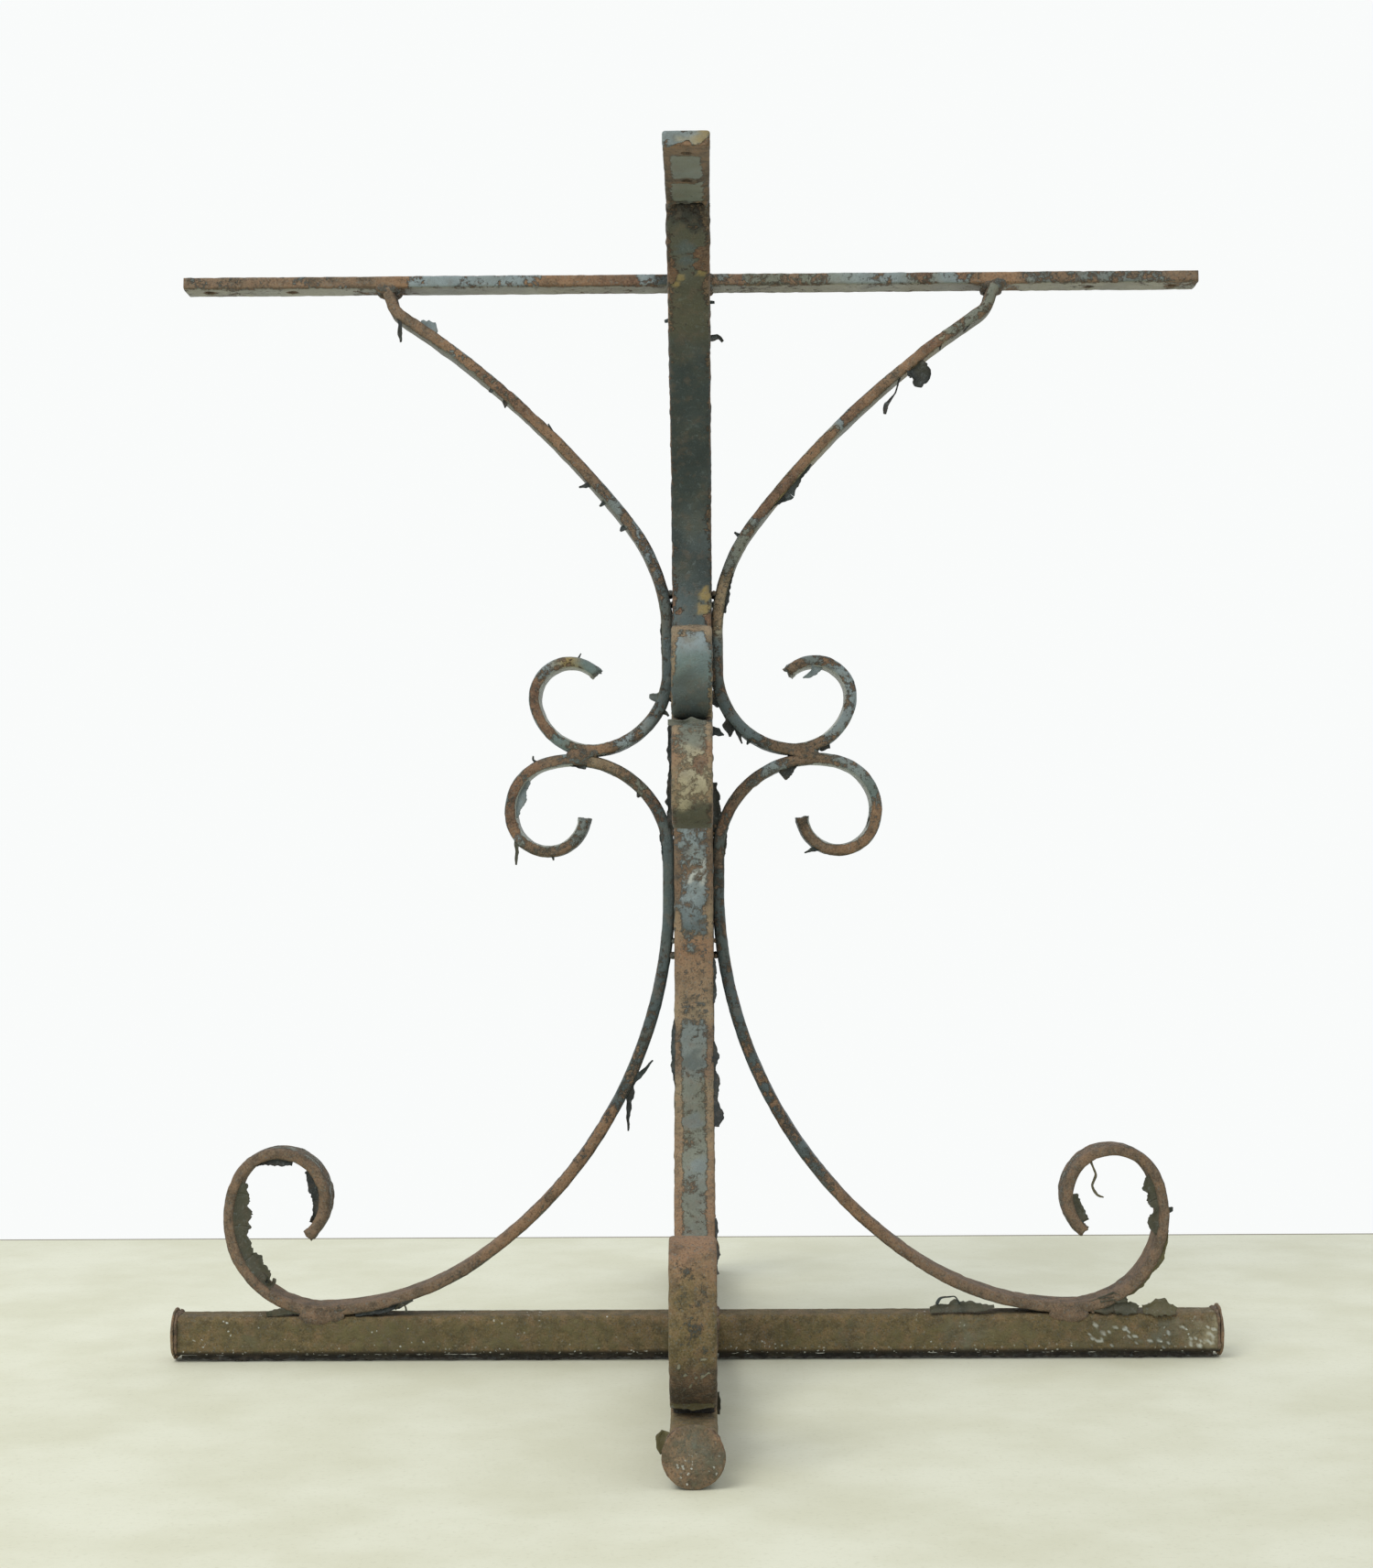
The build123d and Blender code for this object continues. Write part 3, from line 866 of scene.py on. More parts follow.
MATERIALS = {
    "post": weathered_metal("slate_paint_on_post"),
    "top": weathered_metal("grey_paint_on_top_bars", stain=0.4),
    "tube": weathered_metal(
        "olive_paint_on_tubes", specks=0.9, speck_top=13 * MM, shade_top=8.5 * MM, grain=0.6,
        chips=0.6, soft=0.35, lip_depth=0.0),
    "upper": weathered_metal("slate_paint_on_scrolls"),
    "lower": weathered_metal("rust_on_lower_scrolls", soft=0.14, lip_depth=0.2),
    "cap": weathered_metal(
        "rust_on_caps", specks=1.0, speck_top=24 * MM, grain=0.6, chips=0.8, soft=0.30,
        lip_depth=0.05),
    "weld": weathered_metal("rust_on_welds", grain=0.7, soft=0.2),
    "flake": weathered_metal("loose_paint_and_shadow_strips", stain=0.35),
}


# ---------------------------------------------------------------- the bars
def patch(bar, run_mm, wide_mm, radius_mm, coat, paint=None, rust=None, face=1):
    """A Spot on the outer (1) or inner (-1) face of a bar."""
    position, _, normal, across = bar.at(run_mm * MM)
    centre = position + normal * (face * THICK / 2) + across * (wide_mm * MM)
    return Spot(centre, radius_mm * MM, coat, paint, rust)


def scroll_spots(kind, arm, bar):
    """Patches that catch the eye on single scrolls."""
    if (kind, arm) == ("upper", "front"):
        return [
            patch(bar, 30, 1, 7, 0.15, "slate"),
            patch(bar, 41, 0, 5, 0.15, "slate"),
            patch(bar, 34, -9, 7, -0.7, None, "red"),
            patch(bar, 45, -9, 6, -0.7, None, "red"),
            patch(bar, 52, 9, 6, -0.6, None, "red"),
            patch(bar, 50, -7, 3.5, 0.5, "ochre"),
            patch(bar, 54, 5, 3.5, 0.5, "ochre"),
            patch(bar, 59, 8, 3, 0.5, "ochre"),
            patch(bar, 296, -9, 5, 0.2, "ochre"),
            patch(bar, 305, -8, 5, 0.2, "ochre"),
            patch(bar, 307, 8, 3, -0.6, None, "red"),
            patch(bar, 311, -10, 3, -0.6, None, "red"),
        ]
    if (kind, arm) == ("lower", "front"):
        return [
            patch(bar, 76, 5, 4, 0.4, "cream", face=-1),
            patch(bar, 70, -7, 4, 0.4, "cream", face=-1),
            patch(bar, 82, -4, 6, -0.4, None, "red", face=-1),
            patch(bar, 262, -2, 9, 0.0, "pale"),
            patch(bar, 388, 0, 8, 0.3, "slate"),
            patch(bar, 430, 2, 7, 0.3, "mid grey"),
            patch(bar, 462, -3, 8, 0.3, "mid grey"),
            patch(bar, 795, 2, 4, 0.25, "slate", face=-1),
            patch(bar, 766, 0, 6, 0.2, "slate", face=-1),
            *(patch(bar, run, wide, 1.7, 0.9, "cream", face=-1)
              for run, wide in ((744, -8), (742, -5), (741, -1), (743, 4), (748, 8), (735, 2), (752, -6))),
        ]
    return []


def make_scroll(kind, arm):
    """One scroll bar with its weathering. Returns its line."""
    bar = scroll_bar(kind, arm)
    seed = 3.1 * ARMS[arm] / 90 + (20 if kind == "upper" else 40)
    vertices, faces, places = sweep(bar.rows, section(THICK, 2 * HALF, 2.0 * MM))
    piece = make_object(f"{kind}_scroll_{arm}_bar", vertices, faces)
    tinted = kind == "upper" and arm != "front"
    painter = Painter(
        SCROLL_STORIES[kind][arm], seed, scroll_spots(kind, arm, bar),
        outer_paint="olive" if tinted else None, inner_paint="blue grey" if tinted else None,
        more=0.0 if arm == "front" else 0.12,
        curl=(395, 530) if kind == "upper" else (0, 135))
    tips = (bar.runs[-1],) if kind == "upper" else (0.0, bar.runs[-1])
    weather(piece, places, painter, bar_offset(seed, swell=0.25, tips=tips))
    finish_piece(piece, MATERIALS[kind], [f"{kind}_scroll_{arm}"])
    return bar


def make_straight_bar(
        name, rows, thickness, corner, painter, material, node, hole_runs=(), strength=0.55):
    """A straight bar along its rows. Screw holes go through its thickness at hole_runs."""
    vertices, faces, places = sweep(rows, section(thickness, 2 * HALF, corner))
    piece = make_object(name, vertices, faces)
    bar = Bar(rows)
    if hole_runs:
        drill(piece, bar, hole_runs, thickness)
        start, tangent, normal, across = bar.at(0.0)
        holes = [bar.at(run)[0] for run in hole_runs]

        def places(point):
            offset = point - start
            thick = offset.dot(normal) / (thickness / 2)
            wide = offset.dot(across) / HALF
            to_edge = min(HALF * (1 - abs(wide)), max(thickness / 2 * (1 - abs(thick)), 0))
            edge = 1 - smooth(0.0, 2.5 * MM, max(to_edge, HALF * (1 - abs(wide)) - 1.6 * MM))
            for hole in holes:
                flat = (point - hole) - normal * (point - hole).dot(normal)
                edge = max(edge, 3.0 * (1 - smooth(SCREW_RADIUS, 2.3 * SCREW_RADIUS, flat.length)))
            return Place(offset.dot(tangent), thick, wide, edge)
    weather(piece, places, painter, bar_offset(painter.seed, strength))
    finish_piece(piece, material, [node])
    return bar


def drill(piece, bar, runs, depth):
    """Cuts screw holes across a bar."""
    work = bmesh.new()
    for run in runs:
        position, tangent, normal, across = bar.at(run)
        turn = Matrix((across, tangent, normal)).transposed().to_4x4()
        bmesh.ops.create_cone(
            work, cap_ends=True, segments=28, radius1=SCREW_RADIUS, radius2=SCREW_RADIUS,
            depth=3 * depth, matrix=Matrix.Translation(position) @ turn)
    cutter_mesh = bpy.data.meshes.new("cutter")
    work.to_mesh(cutter_mesh)
    work.free()
    cutter = linked("cutter", cutter_mesh)
    cut = piece.modifiers.new("holes", "BOOLEAN")
    cut.operation = "DIFFERENCE"
    cut.object = cutter
    cut.solver = "EXACT"
    bake_modifiers(piece)
    bpy.data.objects.remove(cutter)
    bpy.data.meshes.remove(cutter_mesh)


def bake_modifiers(piece):
    """Replaces the mesh of a piece by the result of its modifiers."""
    bpy.context.view_layer.update()
    evaluated = piece.evaluated_get(bpy.context.evaluated_depsgraph_get())
    mesh = bpy.data.meshes.new_from_object(evaluated)
    old = piece.data
    piece.modifiers.clear()
    piece.data = mesh
    bpy.data.meshes.remove(old)
    mesh.name = piece.name


def make_top_bars():
    """The long cross bar and the two bars welded to its middle."""
    up = Vector((0, 0, 1))
    thickness = TOP - UNDERSIDE
    height = (TOP + UNDERSIDE) / 2
    reach = TOP_REACH
    insets = (15.5 * MM, 70 * MM)
    runs = [*insets, *(2 * reach - inset for inset in insets)]
    rows = straight(Vector((-reach, 0, height)), Vector((reach, 0, height)), up)
    make_straight_bar(
        "top_bar_cross_steel", rows, thickness, 1.6 * MM,
        Painter(TOP_CROSS_STORY, 61, inner_paint="cream"), MATERIALS["top"],
        "top_bar_cross", runs)
    for arm, side in (("front", -1), ("back", 1)):
        near, far = Vector((0, side * HALF, height)), Vector((0, side * reach, height))
        ahead = (far - near).normalized()
        spots = [
            Spot(far + ahead * 3.5 * MM + Vector((wide * MM, 0, 1 * MM)), 8 * MM, 0.6, tint, "orange")
            for wide, tint in ((-9, "blue grey"), (-3, "mid grey"), (3, "cream"), (9, "ochre"))]
        make_straight_bar(
            f"top_bar_{arm}_steel", straight(near, far, up), thickness, 1.6 * MM,
            Painter(TOP_ARM_STORY, 63 + side, spots), MATERIALS["top"],
            f"top_bar_{arm}", [reach - HALF - inset for inset in reversed(insets)])


# White splashes on the front of the long tube, near its right end, in millimetres.
SPLASHES = 40
SPLASH_X = (255, 338)
SPLASH_Z = (6, 24, 13)                              # lowest, highest and most common
SPLASH_SIZE = (0.7, 1.7)


def make_base_tubes():
    """The long tube and the two tubes welded to its middle."""
    up = Vector((0, 0, 1))
    height = (TUBE_LOW.z + TUBE_HIGH.z) / 2
    ends = {
        "cross": (Vector((-TUBE_REACH, 0, height)), Vector((TUBE_REACH, 0, height))),
        "front": (Vector((0, -HALF, height)), Vector((0, -TUBE_REACH, height))),
        "back": (Vector((0, HALF, height)), Vector((0, TUBE_REACH, height))),
    }
    draw = random.Random(5)
    splashes = []
    for _ in range(SPLASHES):
        centre = Vector((draw.uniform(*SPLASH_X), -HALF / MM, draw.triangular(*SPLASH_Z))) * MM
        splashes.append(Spot(centre, draw.uniform(*SPLASH_SIZE) * MM, 0.9, "pale", None))
    for index, (name, (start, end)) in enumerate(ends.items()):
        make_straight_bar(
            f"base_tube_{name}_steel", straight(start, end, up), 2 * HALF, 3.2 * MM,
            Painter(TUBE_STORY, 71 + index, splashes if name == "cross" else (), warmth=0.1),
            MATERIALS["tube"], f"base_tube_{name}")


def make_post():
    """The post between the base tubes and the top bars."""
    rows = straight(Vector((0, 0, POST_HIGH.z)), Vector((0, 0, POST_LOW.z)), Vector((1, 0, 0)))
    make_straight_bar(
        "center_post_steel", rows, 2 * HALF, 1.6 * MM, Painter(POST_STORY, 81),
        MATERIALS["post"], "center_post", strength=0.9)


# ---------------------------------------------------------------- caps
CAP_STORY = story("""
  0 34 34 34 0 green_grey tan
 30 34 34 34 0 green_brown orange
""")


CAP_SEGMENTS = 84


def make_cap(arm):
    """A domed cap with a rolled rim, turned round the axis of its tube."""
    low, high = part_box("end_cap_right")
    radius = (high.z - low.z) / 2
    centre = (high.z + low.z) / 2
    back, crown = low.x, high.x
    rim = back + 1.9 * MM
    profile = [(back, r * radius) for r in (0.25, 0.5, 0.75, 0.9)]
    profile += [(back + 0.1 * MM, 0.965 * radius), (back + 0.6 * MM, 0.995 * radius)]
    profile += [(back + 1.2 * MM, radius), (rim - 0.1 * MM, 0.985 * radius)]
    for share in (0.955, 0.90, 0.83, 0.75, 0.66, 0.57, 0.48, 0.39, 0.30, 0.21, 0.12, 0.05):
        profile.append((rim + (crown - rim) * math.cos(share * math.pi / 2) ** 0.8, share * radius))
    vertices, faces, places = [], [], []
    turn = arm_matrix(arm)
    for x, r in profile:
        for i in range(CAP_SEGMENTS):
            angle = 2 * math.pi * i / CAP_SEGMENTS
            point = Vector((x, r * math.cos(angle), centre + r * math.sin(angle)))
            vertices.append(turn @ point)
            places.append(Place(r, 0.5, 0.0, smooth(0.86 * radius, radius, r)))
    last = (len(profile) - 1) * CAP_SEGMENTS
    for first in range(0, last, CAP_SEGMENTS):
        faces += ring_faces(first, CAP_SEGMENTS)
    faces += [tuple(range(first, first + CAP_SEGMENTS)) for first in (0, last)]
    piece = make_object(f"end_cap_{arm}_steel", vertices, faces)
    seed = 90 + ARMS[arm] / 30
    weather(piece, places, Painter(CAP_STORY, seed), bar_offset(seed, strength=0.8))
    finish_piece(piece, MATERIALS["cap"], [f"end_cap_{arm}"])


# ---------------------------------------------------------------- welds
WELD_STORY = even_story(0.44, "mid grey", "brown")
LOW_WELD_STORY = even_story(0.10, "olive", "brown")


def melt(node, mesh, stops, swell=0.0):
    """Melts a mesh of overlapping lumps into one weathered piece of weld metal."""
    piece = linked(node + "_metal", mesh)
    seed = 7.3 * len(node)
    remesh = piece.modifiers.new("remesh", "REMESH")
    remesh.mode = "VOXEL"
    remesh.voxel_size = 0.9 * MM
    soften = piece.modifiers.new("soften", "SMOOTH")
    soften.iterations = 4
    bake_modifiers(piece)
    piece.data.shade_smooth()

    def offset(normal, point, coat, place):
        lumps = 0.8 * wave(point, 6.5 * MM, seed) + 0.5 * wave(point, 3.2 * MM, seed + 1)
        return normal * MM * (swell + lumps)

    weather(piece, lambda point: Place(50 * MM, 0.0, 0.0, 0.0), Painter(stops, seed), offset)
    finish_piece(piece, MATERIALS["weld"], [node])


BEAD_STEP = 2.4 * MM
NOTCH_GAPS = (0.6 * MM, 1.6 * MM, 2.8 * MM)         # gaps beside the post that get a bead


class Lumps:
    """Overlapping balls of weld metal, placed as on the right-hand arm and turned to each arm."""

    def __init__(self, node, stops):
        self.node = node
        self.stops = stops
        self.work = bmesh.new()
        self.random = random.Random(node)
        self.turn = Matrix.Identity(4)

    def ball(self, centre, radii):
        """A ball, or a flattened one, centred at a point."""
        scale = Matrix.Diagonal((*radii, 1.0))
        bmesh.ops.create_icosphere(
            self.work, subdivisions=3, radius=1.0,
            matrix=self.turn @ Matrix.Translation(centre) @ scale)

    def bead(self, start, end, radius):
        """A row of uneven balls."""
        start, end = Vector(start), Vector(end)
        count = max(1, round((end - start).length / BEAD_STEP))
        for i in range(count + 1):
            size = radius * self.random.uniform(0.75, 1.15)
            self.ball(start.lerp(end, i / count), (size, size, size))

    def wedge(self, centre, gap, depth=0.8):
        """A bead as thick as the gap it fills, across the width of a bar."""
        x, z = centre
        reach = depth * HALF
        self.bead((x, -reach, z), (x, reach, z), gap / 2 + 0.8 * MM)

    def done(self):
        """Turns the balls into the weld that stands for its CAD node."""
        mesh = bpy.data.meshes.new(self.node + "_metal")
        self.work.to_mesh(mesh)
        self.work.free()
        melt(self.node, mesh, self.stops)


def notch_lumps(lumps, rows):
    """Fills the narrow gaps where a scroll leaves the post."""
    touching = [i for i, row in enumerate(rows) if abs(row[0].x - LINE) < 0.02 * MM]
    for index, step in ((touching[0], -1), (touching[-1], 1)):
        for wanted in NOTCH_GAPS:
            index += step
            while rows[index][0].x - LINE < wanted:
                index += step
            gap = rows[index][0].x - LINE
            lumps.wedge((HALF + gap / 2, rows[index][0].z), gap)


def pair_lumps(lumps, upper, lower, inset):
    """Weld between the upper curl and the lower curl that it stands on."""
    low = max((row[0] for row in lower[:len(lower) // 2]), key=lambda p: p.z)
    high = min((row[0] for row in upper), key=lambda p: p.z)
    x, z = (low.x + high.x) / 2, (low.z + high.z) / 2
    for offset in (-8, -4, 4, 8):
        gap = (offset * MM) ** 2 / 2 * (2 / (38 * MM))
        lumps.wedge((x + offset * MM, z), gap, depth=0.85)
    for side in (-1, 1):
        lumps.ball((x + 2 * MM, side * (HALF - inset), z), (9 * MM, 1.8 * MM, 4.5 * MM))
        lumps.ball((x - 6 * MM, side * (HALF - inset), z + 1 * MM), (5 * MM, 1.6 * MM, 3 * MM))


def foot_lumps(lumps, lower, inset):
    """Weld between the lowest point of a lower scroll and the base tube."""
    x = min((row[0] for row in lower), key=lambda p: p.z).x
    for offset in (-13, -9, -5, 5, 9, 13):
        gap = (offset * MM) ** 2 / 2 / (60 * MM)
        lumps.wedge((x + offset * MM, TUBE_TOP + gap / 2), gap, depth=0.85)
    for side in (-1, 1):
        reach = side * (HALF - inset)
        shift = lumps.random.uniform(-3, 3) * MM
        lumps.ball((x + shift, reach, TUBE_TOP - 0.5 * MM), (12 * MM, 2.0 * MM, 5.5 * MM))
        lumps.ball((x - 9 * MM, reach, TUBE_TOP), (7 * MM, 1.8 * MM, 4 * MM))


def end_lumps(lumps, upper, inset, outer_bead):
    """Weld between the top end of an upper scroll and the underside of the top bar."""
    x = upper[0][0].x
    reach = HALF - 2 * MM
    for side in (-1, 1):
        size = outer_bead if side > 0 else 2.6 * MM
        lumps.bead((x + side * 5 * MM, -reach, UNDERSIDE), (x + side * 5 * MM, reach, UNDERSIDE), size)
        lumps.ball((x, side * (HALF - inset), UNDERSIDE + 0.5 * MM), (8 * MM, 2.0 * MM, 4.5 * MM))


def make_welds():
    """Every weld, arm after arm. The front arm's welds are flatter than the others'."""
    welds = [
        Lumps("upper_scroll_end_welds", WELD_STORY),
        Lumps("upper_scroll_post_welds", WELD_STORY),
        Lumps("scroll_pair_welds", WELD_STORY),
        Lumps("lower_scroll_post_welds", WELD_STORY),
        Lumps("lower_scroll_foot_welds", LOW_WELD_STORY),
        Lumps("post_foot_welds", LOW_WELD_STORY),
        Lumps("base_joint_welds", LOW_WELD_STORY),
        Lumps("top_joint_welds", WELD_STORY),
    ]
    ends, upper_posts, pairs, lower_posts, feet, post_foot, base_joint, top_joint = welds
    middle = (TOP + UNDERSIDE) / 2
    flat = HALF - 3 * MM
    corner = HALF + 0.2 * MM
    for arm in ARMS:
        upper, lower = scroll_rows("upper", arm), scroll_rows("lower", arm)
        for lumps in welds:
            lumps.turn = arm_matrix(arm)
        if arm == "front":
            inset, end_inset, outer_bead = 2.2 * MM, 2.2 * MM, 1.5 * MM
        else:
            inset, end_inset, outer_bead = 0.8 * MM, 1.6 * MM, 2.6 * MM
        end_lumps(ends, upper, end_inset, outer_bead)
        notch_lumps(upper_posts, upper)
        pair_lumps(pairs, upper, lower, inset)
        notch_lumps(lower_posts, lower)
        foot_lumps(feet, lower, inset)
        post_foot.bead((HALF, -flat, TUBE_TOP), (HALF, flat, TUBE_TOP), 2.6 * MM)
        base_joint.bead(
            (corner, corner, TUBE_LOW.z + 4 * MM), (corner, corner, TUBE_TOP - 4 * MM), 2.4 * MM)
        top_joint.bead((corner, corner, middle - 2 * MM), (corner, corner, middle + 2 * MM), 2.2 * MM)
        top_joint.bead((HALF, -flat, UNDERSIDE), (HALF, flat, UNDERSIDE), 2.4 * MM)
    for lumps in welds:
        lumps.done()
    make_cap_welds()


def make_cap_welds():
    """The thin weld behind each end cap keeps the shape that the CAD gives it."""
    node = "end_cap_welds"
    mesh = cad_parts[node].data.copy()
    mesh.materials.clear()
    melt(node, mesh, LOW_WELD_STORY, swell=0.2)


# ---------------------------------------------------------------- loose paint
# Sheets of paint that have come off the steel and still hang on by one edge. A few near-black strips among
# them are painted shadow.
# Angles are seen from the front: 0 is right, 90 up. Lengths and widths are in millimetres.
Strand = namedtuple("Strand", "run face path widths paint")      # path: (angle, length), ...
Ribbon = namedtuple("Ribbon", "first last face widths paint")    # along an edge of a bar
Free = namedtuple("Free", "x y z path widths paint")             # starts at a point
Fringe = namedtuple("Fringe", "kind first last side widths paint")   # beside the front arm
Lip = namedtuple("Lip", "kind run first last widths paint")      # across the front arm
LOOSE_SHADE = 0.78                                  # loose paint is darker than paint on steel
SHEET_STEP = 1.1 * MM                               # spacing of points along a sheet
STRETCH = 12                                        # points in one stretch of a curved sheet


def mixed(values, share):
    """A value from a list of evenly spaced ones."""
    spot = clamp(share) * (len(values) - 1)
    index = min(int(spot), len(values) - 2)
    return values[index] + (values[index + 1] - values[index]) * (spot - index)


def even_points(line, step):
    """Points about step apart along a line, with its kinks slightly rounded."""
    points = []
    for start, end in zip(line, line[1:]):
        count = max(1, round((end - start).length / step))
        points += [start.lerp(end, i / count) for i in range(count)]
    points.append(line[-1])
    for _ in range(2):
        middle = [(a + b * 2 + c) / 4 for a, b, c in zip(points, points[1:], points[2:])]
        points = [points[0], *middle, points[-1]]
    return points


class Flakes:
    """Loose sheets of one bar, gathered into one piece."""

    ACROSS = (-1.0, -0.6, -0.2, 0.2, 0.6, 1.0)

    def __init__(self, name, slot, bar=None):
        self.name = name
        self.slot = slot
        self.bar = bar
        self.random = random.Random(name)
        self.seed = self.random.uniform(0, 50)
        self.vertices, self.faces = [], []
        self.coats, self.paints, self.rusts = [], [], []

    def sheet(self, line, widths, facing, outward=None, paint="slate", jag=0.5):
        """A thin ragged sheet along a line. With outward, only that edge is ragged."""
        points = even_points(line, SHEET_STEP)
        first = len(self.vertices)
        count = 2 * len(self.ACROSS)
        for i, point in enumerate(points):
            ahead = points[min(i + 1, len(points) - 1)] - points[max(i - 1, 0)]
            side = facing.cross(ahead).normalized()
            if outward is not None and side.dot(outward) < 0:
                side = -side
            over = ahead.cross(side).normalized()
            if over.dot(facing) < 0:
                over = -over
            width = max(0.7, mixed(widths, i / (len(points) - 1))) * MM
            rough = self.random.uniform(-0.12, 0.12)
            low = 1 + jag * 1.2 * wave(point, 3.5 * MM, self.seed + 7) * (outward is None)
            high = 1 + jag * (1.5 * wave(point, 8 * MM, self.seed) + 0.8 * wave(point, 3 * MM, self.seed))
            high = max(high + rough, 0.4)
            ring = []
            for u in self.ACROSS:
                reach = u * width / 2 * (high if u > 0 else low)
                cup = 0.22 * width * (u * u - 0.4) + 1.2 * MM * wave(point, 8 * MM, self.seed + u / 3)
                ring.append((point + side * reach + over * cup, 1 - 0.5 * abs(u)))
            for at, thick in ring:
                self.add(at + over * (SHEET / 2 * thick), paint, 1.0)
            for at, thick in reversed(ring):
                self.add(at - over * (SHEET / 2 * thick), paint, 0.2)
        last = first + (len(points) - 1) * count
        for ring_start in range(first, last, count):
            self.faces += ring_faces(ring_start, count)
        self.faces += [tuple(range(start, start + count)) for start in (first, last)]

    def add(self, point, paint, coat):
        """One vertex of a sheet and its weathering."""
        light = LOOSE_SHADE * (1 + 0.35 * wave(point, 6 * MM, self.seed + 2))
        self.vertices.append(point)
        self.coats.append(coat + 0.15 * wave(point, 4 * MM, self.seed + 3))
        self.paints.append(PAINTS[paint] * light)
        self.rusts.append(RUSTS["dark"].lerp(RUSTS["brown"], 0.5) * light)

    def hang(self, start, path, widths, paint):
        """A sheet that hangs from a point along (angle, length) steps, with a little drift."""
        tilt = Vector((self.random.uniform(-0.3, 0.3), -1, self.random.uniform(-0.3, 0.3)))
        line = [start]
        for angle, length in path:
            turn = math.radians(angle)
            lean = self.random.uniform(-0.25, 0.1) * min(1.0, 6 / length)
            step = Vector((math.cos(turn), lean, math.sin(turn)))
            line.append(line[-1] + step * length * MM)
        self.sheet(line, widths, tilt.normalized(), paint=paint)

    def near_edge(self, run_mm, face, depth=0.0):
        """A point on a face of the bar, close to its front side, and the ways out of both."""
        position, _, normal, across = self.bar.at(run_mm * MM)
        front = across if across.y < 0 else -across
        point = position + normal * face * (THICK / 2 - depth) + front * (0.8 * HALF)
        return point, normal * face, front

    def strand(self, strand):
        """A sheet that hangs from a bar."""
        start = self.near_edge(strand.run, strand.face, 1.5 * MM)[0]
        self.hang(start, strand.path, strand.widths, strand.paint)

    def free(self, free):
        self.hang(Vector((free.x, free.y, free.z)) * MM, free.path, free.widths, free.paint)

    def fringe(self, fringe, bar):
        """A strip that stands out sideways from the front arm."""
        side = Vector((fringe.side, 0, 0))
        steps = round((fringe.last - fringe.first) / 3)
        line = []
        for i in range(steps + 1):
            share = i / steps
            run = fringe.first + (fringe.last - fringe.first) * share
            position, _, normal, _ = bar.at(run * MM)
            front = normal if normal.y < 0 else -normal
            reach = HALF + (mixed(fringe.widths, share) / 2 - 1.2) * MM
            line.append(position + front * (THICK / 2 - 1.5 * MM) + side * reach)
        widths = [w + 1 for w in fringe.widths]
        self.curved_sheet(line, [side] * len(line), widths, Vector((0, -1, 0)), fringe.paint)

    def lip(self, lip, bar):
        """A strip across a curl of the front arm."""
        position, _, normal, _ = bar.at(lip.run * MM)
        start = position - normal * (THICK / 2 + 0.8 * MM)
        line = [start + Vector((x * MM, 0, 0)) for x in (lip.first, (lip.first + lip.last) / 2, lip.last)]
        self.sheet(line, lip.widths, Vector((0, -1, 0.2)).normalized(), paint=lip.paint)

    def ribbon(self, ribbon):
        """Paint that stands out beyond an edge, in the plane of the scroll."""
        steps = max(2, round((ribbon.last - ribbon.first) / 2))
        line, outwards = [], []
        for i in range(steps + 1):
            share = i / steps
            run = ribbon.first + (ribbon.last - ribbon.first) * share
            point, outward, front = self.near_edge(run, ribbon.face)
            width = mixed(ribbon.widths, share) * MM
            line.append(point + outward * (width / 2 - 1.2 * MM))
            outwards.append(outward)
        self.curved_sheet(line, outwards, [w + 1 for w in ribbon.widths], front, ribbon.paint)

    def curved_sheet(self, line, outwards, widths, facing, paint):
        """A ribbon in short stretches, so that its ragged edge stays on the outer side."""
        last = len(line) - 1
        for start in range(0, last, STRETCH):
            end = min(start + STRETCH, last) + 1
            part = [mixed(widths, i / last) for i in range(start, end)]
            self.sheet(line[start:end], part, facing, outwards[(start + end) // 2], paint, jag=0.45)

    def done(self):
        """Turns the sheets into one piece. It stands for no CAD node."""
        piece = make_object(self.name, self.vertices, self.faces)
        store(piece.data, self.coats, self.paints, self.rusts)
        finish_piece(piece, MATERIALS["flake"])


